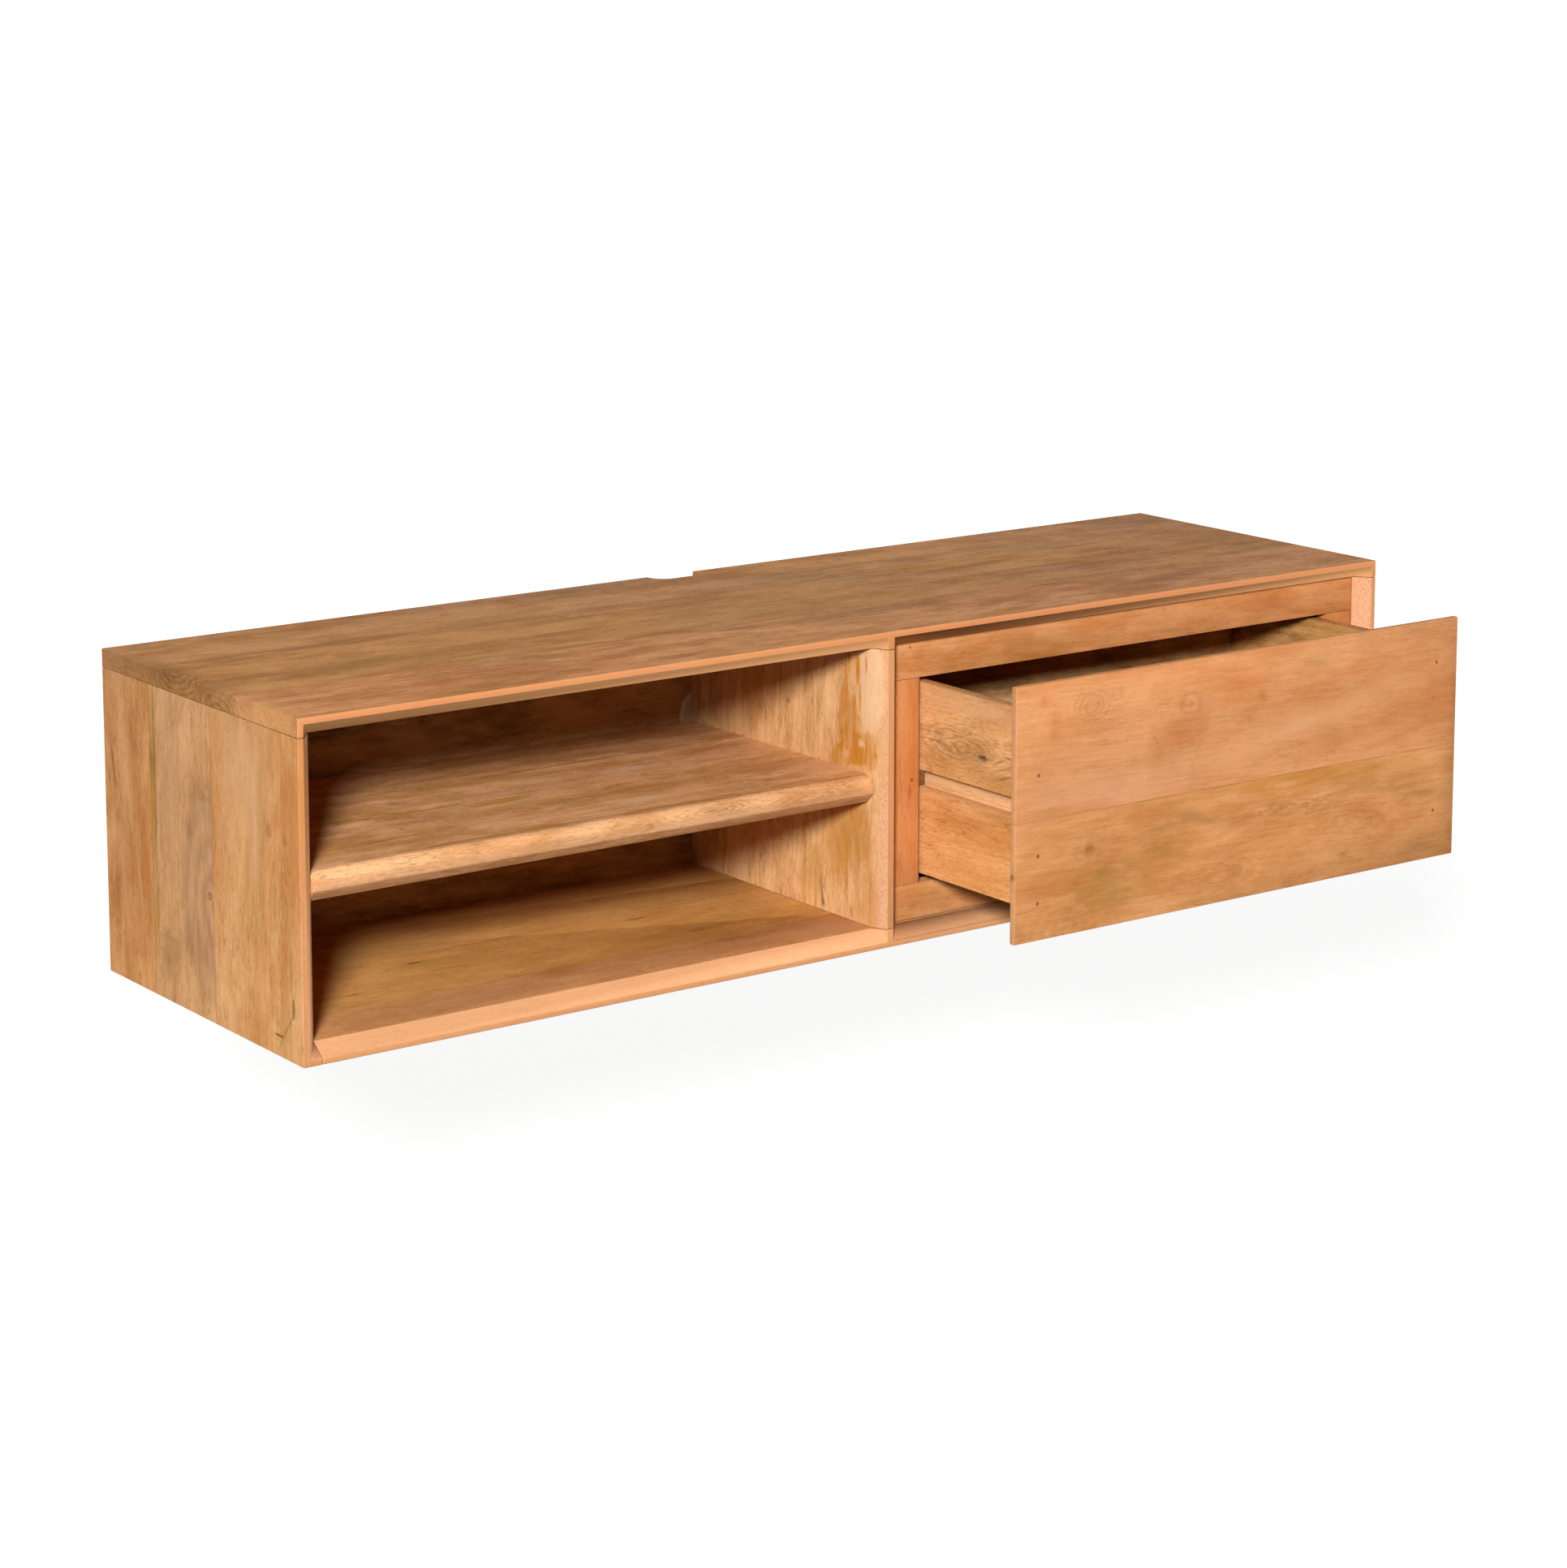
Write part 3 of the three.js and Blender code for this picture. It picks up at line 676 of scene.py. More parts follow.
@dataclass(frozen=True)
class Wood:
    """The finish of one board.

    Attributes:
        axes: How the board lies.
        planks: Its planks, from the low side up.
        vein: Colour of its olive or golden veins.
        blush: Colour of its warm patches.
        ring_width: Mean width of a ring band.
        wander: How far the heart line strays.
        wave: How far the grain sways from straight.
        bands: Contrast of the ring bands.
        lines: Contrast of the fine lines in them.
        mottle: Contrast of the soft patches.
        ropes: Contrast of the long narrow streaks.
        veins: Strength of the veins.
        blushes: Strength of the warm patches.
        threads: Darkness of the fine winding lines.
        curl: Contrast of the ripple across the grain.
        pores: Darkness of the pores.
        flat: Colour of the narrow front edge, or None.
        splay: Colour of the sanded slope behind it, or None.
        nose_mix: How much of the two.
        blemishes: Its knots, checks and stains.
        tilt: Slope of the grain, across and through.
        joints: Where it meets other boards, as axis and place: a dark joint line with painted shade of the
            groove or recess there.
        joint: How wide and how dark those lines are.
        stipple: How strongly the splay is pitted.
    """

    axes: Axes
    planks: tuple[Plank, ...]
    vein: str = "#a8783e"
    blush: str = "#bc7040"
    ring_width: float = 0.022
    wander: float = 0.035
    wave: float = 0.020
    bands: float = 0.26
    lines: float = 0.10
    mottle: float = 0.42
    ropes: float = 0.13
    veins: float = 0.3
    blushes: float = 0.3
    threads: float = 0.26
    curl: float = 0.05
    pores: float = 0.17
    flat: str | None = None
    splay: str | None = None
    nose_mix: float = 0.75
    blemishes: tuple[Blemish, ...] = ()
    tilt: tuple[float, float] = (0.03, 0.02)
    joints: tuple[tuple[int, float], ...] = ()
    joint: tuple[float, float] = (0.9 * MM, 0.4)
    stipple: float = 0.5

    def material(self, name: str, groups: Groups, low: Vector, high: Vector) -> bpy.types.Material:
        """Makes the board's material.

        Args:
            name: The material's name.
            groups: The shared groups.
            low: The board's lowest corner.
            high: Its highest corner.

        Returns:
            The material.
        """
        made = bpy.data.materials.new(name)
        made.use_nodes = True
        sheet = NodeSheet(made.node_tree)
        shader = made.node_tree.nodes["Principled BSDF"]
        where = sheet.node("ShaderNodeTexCoord")
        place = where.outputs["Object"]
        parts = sheet.split(place)
        along, across, through = (parts[i] for i in self.axes.value)
        wide, thick = self.axes.value[1:]
        zero = [side - HEART_ZERO for side in (low + high) / 2]

        share = sheet.math("DIVIDE", sheet.math("SUBTRACT", across, low[wide]), high[wide] - low[wide])
        starts = [0.0] + [plank.share for plank in self.planks[:-1]]
        light = sheet.steps(share, [(s, linear(p.light)) for s, p in zip(starts, self.planks)])
        dark = sheet.steps(share, [(s, linear(p.dark)) for s, p in zip(starts, self.planks)])
        hearts = [(HEART_ZERO + p.heart[0], HEART_ZERO + p.heart[1], p.seed, 1.0) for p in self.planks]
        heart = sheet.split(sheet.steps(share, list(zip(starts, hearts))).outputs["Color"])

        lean_across = sheet.math("MULTIPLY_ADD", along, self.tilt[0], across)
        lean_through = sheet.math("MULTIPLY_ADD", along, self.tilt[1], through)
        from_heart = sheet.join(
            along,
            sheet.math("SUBTRACT", sheet.math("SUBTRACT", lean_across, zero[wide]), heart[0]),
            sheet.math("SUBTRACT", sheet.math("SUBTRACT", lean_through, zero[thick]), heart[1]),
        )

        lift: Input = 0.0
        cover: Input = 0.0
        stained: Input = BLACK
        turn = place
        for spot in sorted(self.blemishes, key=lambda spot: not spot.lift):
            mark = sheet.place(
                groups.blemish,
                Place=turn,
                Centre=spot.centre,
                Reach=spot.reach,
                Run=spot.run,
                Length=spot.length,
                Fray=spot.fray,
                Rings=spot.rings,
                Edge=spot.edge,
            )
            mask, turn = mark.outputs
            if spot.held:
                at = (spot.centre[wide] - low[wide]) / (high[wide] - low[wide])
                mask = self._held(sheet, mask, share, at)
            if spot.lift:
                lift = sheet.math("MULTIPLY_ADD", mask, spot.lift, lift)
            if spot.colour:
                amount = sheet.math("MULTIPLY", mask, spot.strength)
                stained = sheet.mix(amount, stained, linear(spot.colour))
                left = sheet.math("SUBTRACT", 1.0, cover)
                cover = sheet.math("MULTIPLY_ADD", amount, left, cover)

        facing = sheet.split(where.outputs["Normal"])
        end = sheet.remap(sheet.math("ABSOLUTE", facing[self.axes.value[0]]), *Span.END_FACE)
        forward = sheet.math("MULTIPLY", facing[1], -1.0)
        flat = sheet.remap(forward, *Span.FLAT_FACE)
        splay = sheet.math("SUBTRACT", sheet.remap(forward, *Span.SPLAY_FACE), flat)
        timber = sheet.place(
            groups.timber,
            Place=from_heart,
            Seed=heart[2],
            Lift=lift,
            End_Grain=end,
            Stipple=sheet.math("MULTIPLY", splay, self.stipple) if self.splay else 0.0,
            Light=light.outputs["Color"],
            Dark=dark.outputs["Color"],
            Vein=linear(self.vein),
            Blush=linear(self.blush),
            Ring_Width=self.ring_width,
            Wander=self.wander,
            Wave=self.wave,
            Bands=self.bands,
            Lines=self.lines,
            Mottle=self.mottle,
            Ropes=self.ropes,
            Veins=self.veins,
            Blushes=self.blushes,
            Threads=self.threads,
            Curl=self.curl,
            Pores=self.pores,
        )
        colour = timber.outputs["Colour"]
        if self.splay:
            colour = sheet.mix(sheet.math("MULTIPLY", splay, self.nose_mix), colour, linear(self.splay))
            colour = sheet.mix(timber.outputs["Stipple"], colour, linear(PIT_TONE))
        if self.flat:
            colour = sheet.mix(sheet.math("MULTIPLY", flat, self.nose_mix), colour, linear(self.flat))
        streaky = sheet.remap(timber.outputs["Figure"], *STREAKY)
        colour = sheet.mix(sheet.math("MULTIPLY", cover, streaky), colour, BLACK)
        colour = sheet.mix(streaky, colour, stained, blend="ADD")
        seams = [(wide, low[wide] + (high[wide] - low[wide]) * s) for s in starts[1:]]
        colour = self._lines(sheet, parts, seams, SEAM, colour)
        colour = self._lines(sheet, parts, self.joints, self.joint, colour)
        sheet.feed(shader.inputs["Base Color"], colour)
        sheet.feed(shader.inputs["Roughness"], timber.outputs["Roughness"])
        sheet.feed(shader.inputs["Specular IOR Level"], OILED_SPECULAR)
        sheet.feed(shader.inputs["Normal"], sheet.bump(timber.outputs["Height"], *GRAIN_BUMP))
        return made

    def _held(self, sheet: NodeSheet, mask: Socket, share: Socket, at: float) -> Socket:
        """Ends a mark at the seams of its own plank.

        Args:
            sheet: The material's sheet.
            mask: The mark's mask.
            share: The share across the board.
            at: The mark's own share.

        Returns:
            The mask within the plank.
        """
        ends = [0.0] + [plank.share for plank in self.planks]
        first, last = next((a, b) for a, b in zip(ends, ends[1:]) if at <= b)
        inside = sheet.math("MULTIPLY", sheet.math("GREATER_THAN", share, first), mask)
        return sheet.math("MULTIPLY", sheet.math("LESS_THAN", share, last), inside)

    def _lines(
        self,
        sheet: NodeSheet,
        parts: Sequence[Socket],
        places: Sequence[tuple[int, float]],
        width_and_depth: tuple[float, float],
        colour: Socket,
    ) -> Socket:
        """Draws the hairlines of glued seams, and the dark lines of joints, which are partly painted shade.

        Args:
            sheet: The material's sheet.
            parts: The coordinates.
            places: Where the lines are, as axis and place.
            width_and_depth: How wide and how dark they are.
            colour: The colour so far.

        Returns:
            The colour with the lines.
        """
        gaps = [sheet.math("ABSOLUTE", sheet.math("SUBTRACT", parts[axis], place)) for axis, place in places]
        if not gaps:
            return colour
        nearest = gaps[0]
        for gap in gaps[1:]:
            nearest = sheet.math("MINIMUM", nearest, gap)
        width, depth = width_and_depth
        shown = sheet.remap(nearest, LINE_CORE * width, width, depth, 0.0)
        return sheet.mix(shown, colour, linear(SEAM_AND_SHADE_TONE))


@dataclass(frozen=True)
class Zinc:
    """Zinc-plated steel.

    Attributes:
        base: Its colour where it is brightest.
    """

    base: str = "#b9bcc0"

    def material(self, name: str, groups: Groups) -> bpy.types.Material:
        """Makes the material.

        Args:
            name: The material's name.
            groups: The shared groups.

        Returns:
            The material.
        """
        made = bpy.data.materials.new(name)
        made.use_nodes = True
        sheet = NodeSheet(made.node_tree)
        shader = made.node_tree.nodes["Principled BSDF"]
        sheet.feed(shader.inputs["Metallic"], 1.0)
        where = sheet.node("ShaderNodeTexCoord")
        plate = sheet.place(groups.zinc, Place=where.outputs["Object"], Base=linear(self.base))
        sheet.feed(shader.inputs["Base Color"], plate.outputs["Colour"])
        sheet.feed(shader.inputs["Roughness"], plate.outputs["Roughness"])
        sheet.feed(shader.inputs["Normal"], sheet.bump(plate.outputs["Height"], *ZINC_BUMP))
        return made


@dataclass(frozen=True)
class Filler:
    """Dark filler over a sunk nail head.

    Attributes:
        base: Its colour.
        crumb: Colour of the crumbs in it.
        crumb_scale: How fine they are, in repeats per metre.
    """

    base: str = "#8c5634"
    crumb: str = "#8a5434"
    crumb_scale: float = 900.0

    def material(self, name: str) -> bpy.types.Material:
        """Makes the material.

        Args:
            name: The material's name.

        Returns:
            The material.
        """
        made = bpy.data.materials.new(name)
        made.use_nodes = True
        sheet = NodeSheet(made.node_tree)
        shader = made.node_tree.nodes["Principled BSDF"]
        where = sheet.node("ShaderNodeTexCoord")
        crumb = sheet.noise(where.outputs["Object"], (self.crumb_scale,) * 3, detail=3.0)
        tone = sheet.mix(crumb.outputs[0], linear(self.base), linear(self.crumb))
        sheet.feed(shader.inputs["Base Color"], tone)
        sheet.feed(shader.inputs["Roughness"], sheet.remap(crumb.outputs[0], 0.3, 0.7, 0.6, 0.8))
        return made


@dataclass(frozen=True)
class Board:
    """One board: the solid that it copies, and its finish.

    Attributes:
        node: The solid's name.
        slot: The record's material slot; not used.
        wood: Its finish.
        ease: How far its arrises are rounded.
    """

    node: str
    slot: str
    wood: Wood
    ease: float = 0.9 * MM


class Workshop:
    """Makes and places the pieces of the cabinet."""

    SHARP = math.radians(28)  # the least turn that counts as an arris
    SHORTEST = 1.5 * MM  # the least length of an arris that is rounded
    WELD = 0.01 * MM  # corners nearer than this are one
    LEVEL = math.radians(0.5)  # faces that turn less than this are one
    ROUND_STEPS = 3

    def __init__(self, frame: dict, groups: Groups) -> None:
        """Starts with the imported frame.

        Args:
            groups: The shared shader groups.
        """
        self.nodes = frame["nodes"]
        self.groups = groups

    def eased_copy(self, node: str, ease: float) -> bpy.types.Object:
        """Copies a solid and rounds its outward arrises.

        Args:
            node: The solid's name.
            ease: Radius of the rounding.

        Returns:
            The new piece.
        """
        name = node + "_eased"
        mesh = self.nodes[node].data.copy()
        mesh.name = name
        mesh.materials.clear()
        form = bmesh.new()
        form.from_mesh(mesh)
        bmesh.ops.remove_doubles(form, verts=form.verts, dist=self.WELD)
        bmesh.ops.dissolve_limit(form, angle_limit=self.LEVEL, verts=form.verts, edges=form.edges)
        weight = form.edges.layers.float.new("bevel_weight_edge")
        for face in form.faces:
            face.smooth = True
        for edge in form.edges:
            if len(edge.link_faces) != 2:
                continue
            angle = edge.calc_face_angle_signed(0.0)
            if abs(angle) <= self.SHARP:
                continue
            if angle > 0 and edge.calc_length() >= self.SHORTEST:
                edge[weight] = 1.0
            else:
                edge.smooth = False
        form.to_mesh(mesh)
        form.free()
        piece = bpy.data.objects.new(name, mesh)
        bpy.context.scene.collection.objects.link(piece)
        rounding = piece.modifiers.new("eased arrises", "BEVEL")
        rounding.limit_method = "WEIGHT"
        rounding.width = ease
        rounding.segments = self.ROUND_STEPS
        rounding.use_clamp_overlap = False
        rounding.harden_normals = True
        return piece

    def board(self, board: Board, body: str) -> bpy.types.Object:
        """Makes one board and puts it in place of its solid.

        Args:
            board: The board.
            body: The body it moves with.

        Returns:
            The new piece.
        """
        piece = self.eased_copy(board.node, board.ease)
        low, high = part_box(board.node)
        piece.data.materials.append(board.wood.material(board.node + "_wood", self.groups, low, high))
        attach(piece, body)
        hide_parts(board.node)
        LOG.info("board %s", piece.name)
        return piece

    def repaint(self, node: str, material: bpy.types.Material) -> None:
        """Gives a solid that stays as it is a better material."""
        mesh = self.nodes[node].data
        mesh.materials.clear()
        mesh.materials.append(material)


@dataclass
class Carcass:
    """The outer boards, the divider, the back panels and the shelf."""

    body: str = "cabinet"
    flat: str = "#d29062"
    splay: str = "#e2a880"

    def top(self) -> Wood:
        """The top: four planks with olive and purplish streaks, whose ends show."""
        face = Face(2, 0.34, 0.01)
        end = Face(0, -0.725)
        return Wood(
            Axes.LONG_FLAT,
            (
                Plank(0.305, "#dc9b67", "#bc7b49", (-0.10, -0.09), 0.11),
                Plank(0.50, "#cc9159", "#b47944", (0.03, -0.10), 0.42),
                Plank(0.686, "#ca9057", "#b27742", (0.02, 0.10), 0.77),
                Plank(1.0, "#cc925f", "#b27946", (0.16, -0.08), 0.93),
            ),
            vein="#9a7440",
            blush="#8e5434",
            mottle=0.5,
            ropes=0.22,
            veins=0.45,
            blushes=0.4,
            threads=0.16,
            flat="#e09460",
            splay="#ce9866",
            nose_mix=0.92,
            stipple=0.0,
            blemishes=(
                face.mark(-0.22, -0.156, 0.08, 0.006, "#784634", 0.5, fray=0.6, edge=0.3),
                face.mark(-0.27, -0.02, 0.12, 0.012, "#845040", 0.5, fray=0.6),
                face.mark(-0.60, -0.12, 0.16, 0.008, "#7e5234", 0.45, fray=0.6),
                face.mark(-0.36, -0.125, 0.16, 0.006, "#7a4c30", 0.4, fray=0.6),
                face.mark(-0.46, -0.33, 0.07, 0.016, "#9c6040", 0.5, fray=0.6, edge=0.4),
                face.mark(-0.30, -0.345, 0.05, 0.012, "#8a5a3c", 0.3, fray=0.6),
                face.mark(0.40, -0.215, 0.03, 0.005, "#5e443c", 0.6, fray=0.6),
                face.mark(0.43, -0.245, 0.06, 0.016, "#74493c", 0.55, fray=0.6),
                face.mark(0.38, -0.375, 0.05, 0.02, "#bc7c48", 0.6, fray=0.6, edge=0.4),
                face.mark(0.46, -0.36, 0.05, 0.016, "#7c4c38", 0.45, fray=0.6),
                face.mark(0.10, -0.31, 0.12, 0.02, "#8c5a3c", 0.35, fray=0.6),
                face.mark(0.11, -0.085, 0.07, 0.04, "#8a6034", 0.5, fray=0.6),
                face.mark(0.66, -0.05, 0.08, 0.03, "#84543c", 0.45, fray=0.6),
                face.mark(0.28, -0.08, 0.12, 0.010, "#8a6238", 0.45, fray=0.6),
                face.mark(-0.55, -0.235, 0.14, 0.02, "#94703a", 0.5, fray=0.6),
                face.mark(-0.06, -0.235, 0.09, 0.03, "#b08a52", 0.4, fray=0.6),
                face.mark(-0.12, -0.292, 0.07, 0.0015, "#70482c", 0.5, fray=0.3),
                end.mark(-0.12, 0.34, 0.13, 0.04, "#98693c", 0.7, fray=0.3),
                end.mark(-0.36, 0.33, 0.06, 0.03, "#dea268", 0.8, fray=0.3),
                end.mark(-0.165, 0.352, 0.05, 0.035, "#5e3c1c", 0.75, rings=5.0, fray=0.3),
                end.mark(-0.256, 0.31, 0.04, 0.03, "#6a4622", 0.75, rings=4.0, fray=0.3),
                end.mark(-0.07, 0.30, 0.05, 0.03, "#6e4a26", 0.6, rings=5.0, fray=0.3),
            ),
            # dark joint line, partly painted shade of the groove at the joint
            joints=((2, 0.32),),
        )

    def left(self) -> Wood:
        """The left side: a pale plank, an olive one with an arched figure, and a reddish one."""
        face = Face(0, -0.725)
        plank = Face(0, -0.725, 0.03, held=True)
        skin = Face(0, -0.725, 0.01)
        skew = (0.0, 0.18, 0.984)
        crack = (0.0, 0.62, -0.785)
        return Wood(
            Axes.TALL_DEEP,
            (
                Plank(0.43, "#e2aa74", "#cc8c52", (-0.06, -0.09), 0.21),
                Plank(0.745, "#e4ac78", "#ca925e", (0.03, -0.04), 0.58),
                Plank(1.0, "#e4a46a", "#c9864c", (0.14, -0.05), 0.36),
            ),
            vein="#a87c40",
            blush="#c0743e",
            wander=0.05,
            mottle=0.40,
            veins=0.3,
            blushes=0.3,
            flat=self.flat,
            splay=self.splay,
            blemishes=(
                plank.mark(-0.15, 0.23, 0.020, 0.08, "#d0a27c", 0.5, fray=0.5),
                plank.mark(-0.238, 0.125, 0.077, 0.131, "#8e5c34", 0.5, fray=0.08, edge=1.0),
                plank.mark(-0.238, 0.122, 0.073, 0.127, "#d8a67e", 0.5, fray=0.10, edge=1.0),
                plank.mark(-0.238, 0.112, 0.062, 0.105, "#84562e", 0.45, 0.0, 0.3, 3.2),
                plank.mark(-0.225, 0.222, 0.016, 0.005, "#8a623c", 0.4, fray=0.9, edge=0.2),
                plank.mark(-0.190, 0.186, 0.006, 0.014, "#865c38", 0.4, fray=0.9, edge=0.2),
                plank.mark(-0.145, 0.045, 0.026, 0.022, "#8c6636", 0.4, fray=2.0, edge=0.5),
                plank.mark(-0.135, 0.025, 0.020, 0.020, "#926c3a", 0.4, fray=2.0, edge=0.5),
                plank.mark(-0.175, 0.060, 0.020, 0.014, "#9c7442", 0.4, fray=2.0, edge=0.5),
                plank.mark(-0.215, 0.06, 0.03, 0.03, "#a87450", 0.5, fray=0.6),
                skin.mark(-0.231, 0.122, 0.0046, 0.0048, "#4e2c16", 0.9, fray=0.1, edge=1.0),
                skin.mark(-0.231, 0.122, 0.0026, 0.0028, "#c08c64", 0.9, fray=0.1, edge=1.0),
                skin.mark(-0.357, 0.217, 0.007, 0.009, "#9c6030", 0.75, 0.004, 0.6, edge=0.4),
                skin.mark(-0.390, 0.214, 0.003, 0.008, "#965a2c", 0.75, 0.004, 0.6, edge=0.4),
                face.mark(-0.418, 0.25, 0.012, 0.12, "#c8803c", 0.6, fray=0.5),
                face.mark(-0.392, 0.27, 0.020, 0.05, "#c07c42", 0.6, fray=0.7),
                face.mark(-0.375, 0.235, 0.030, 0.016, "#c48048", 0.5, fray=0.8),
                face.mark(-0.410, 0.16, 0.010, 0.12, "#c48248", 0.5, fray=0.6),
                face.mark(-0.384, 0.14, 0.026, 0.055, "#b4753e", 0.5, 0.0, 0.3, 3.0),
                face.mark(-0.345, 0.15, 0.004, 0.10, "#bc7c4c", 0.5, fray=0.6),
                face.mark(-0.30, 0.27, 0.035, 0.06, "#e6b488", 0.6, fray=0.6, held=True),
                face.mark(-0.33, 0.20, 0.006, 0.09, "#ecbc94", 0.5, fray=0.6),
                skin.mark(-0.401, 0.045, 0.0030, 0.0125, "#3c2412", 1.0, 0.004, 0.9, edge=0.9),
                skin.mark(-0.3985, 0.078, 0.0011, 0.028, "#6e4420", 0.8, fray=0.8),
                skin.mark(-0.389, 0.024, 0.0010, 0.02, "#865630", 0.6, run=crack, length=0.02),
                skin.mark(-0.371, 0.0115, 0.010, 0.0016, "#5a361a", 0.85, 0.002, 0.4, edge=0.5),
                face.mark(-0.115, 0.22, 0.0016, 0.14, "#70501f", 0.9, fray=0.8),
                face.mark(-0.109, 0.22, 0.006, 0.12, "#b88432", 0.85, fray=0.8, edge=0.4),
                face.mark(-0.108, 0.24, 0.004, 0.02, "#80622c", 0.6, fray=0.6),
                face.mark(-0.110, 0.08, 0.004, 0.07, "#c89a50", 0.6, fray=0.6),
                skin.mark(-0.020, 0.22, 0.0022, 0.02, "#7c4c26", 0.75, run=skew, length=0.026),
                skin.mark(-0.025, 0.201, 0.003, 0.006, "#6e4020", 0.7, fray=0.6),
                face.mark(-0.065, 0.25, 0.008, 0.02, "#bc7038", 0.7, fray=0.6, run=skew, length=0.05),
                face.mark(-0.090, 0.14, 0.008, 0.02, "#c0763e", 0.6, fray=0.6, run=skew, length=0.06),
                face.mark(-0.055, 0.19, 0.003, 0.02, "#e8b488", 0.5, fray=1.2, run=skew, length=0.06),
                face.mark(-0.075, 0.11, 0.0026, 0.02, "#e8b488", 0.5, fray=1.2, run=skew, length=0.05),
                face.mark(-0.035, 0.12, 0.004, 0.02, "#e2a87a", 0.6, fray=0.5, run=skew, length=0.06),
                face.mark(-0.030, 0.31, 0.012, 0.02, "#e0a880", 0.55, fray=0.6),
                face.mark(-0.022, 0.085, 0.016, 0.035, "#b06a3c", 0.65, fray=0.7),
                face.mark(-0.028, 0.165, 0.004, 0.006, "#8e5a34", 0.6, fray=0.8),
                face.mark(-0.06, 0.03, 0.04, 0.012, "#b87040", 0.5, fray=0.9),
            ),
            # dark joint line, partly painted shade of the groove at the joint
            joints=((2, 0.32),),
        )

    def right(self) -> Wood:
        """The right side, the left one's twin in other planks."""
        face = Face(0, 0.725)
        return Wood(
            Axes.TALL_DEEP,
            (
                Plank(0.36, "#dca474", "#c48854", (-0.09, -0.08), 0.66),
                Plank(0.68, "#d49c6c", "#b88452", (0.0, 0.07), 0.15),
                Plank(1.0, "#dca06c", "#c08048", (0.12, -0.06), 0.87),
            ),
            blushes=0.35,
            flat=self.flat,
            splay="#cf9a78",
            nose_mix=0.85,
            blemishes=(
                face.mark(-0.15, 0.22, 0.026, 0.05, "#94643a", 0.45, 0.0, 0.3, 4.0),
                face.mark(-0.15, 0.22, 0.005, 0.007, "#6a4022", 0.8, 0.02),
                face.mark(-0.29, 0.09, 0.03, 0.05, "#ac7a48", 0.4, -0.02, 0.6),
                face.mark(-0.35, 0.24, 0.004, 0.07, "#e6b488", 0.5, fray=0.6),
            ),
            # dark joint line, partly painted shade of the groove at the joint
            joints=((2, 0.32),),
        )

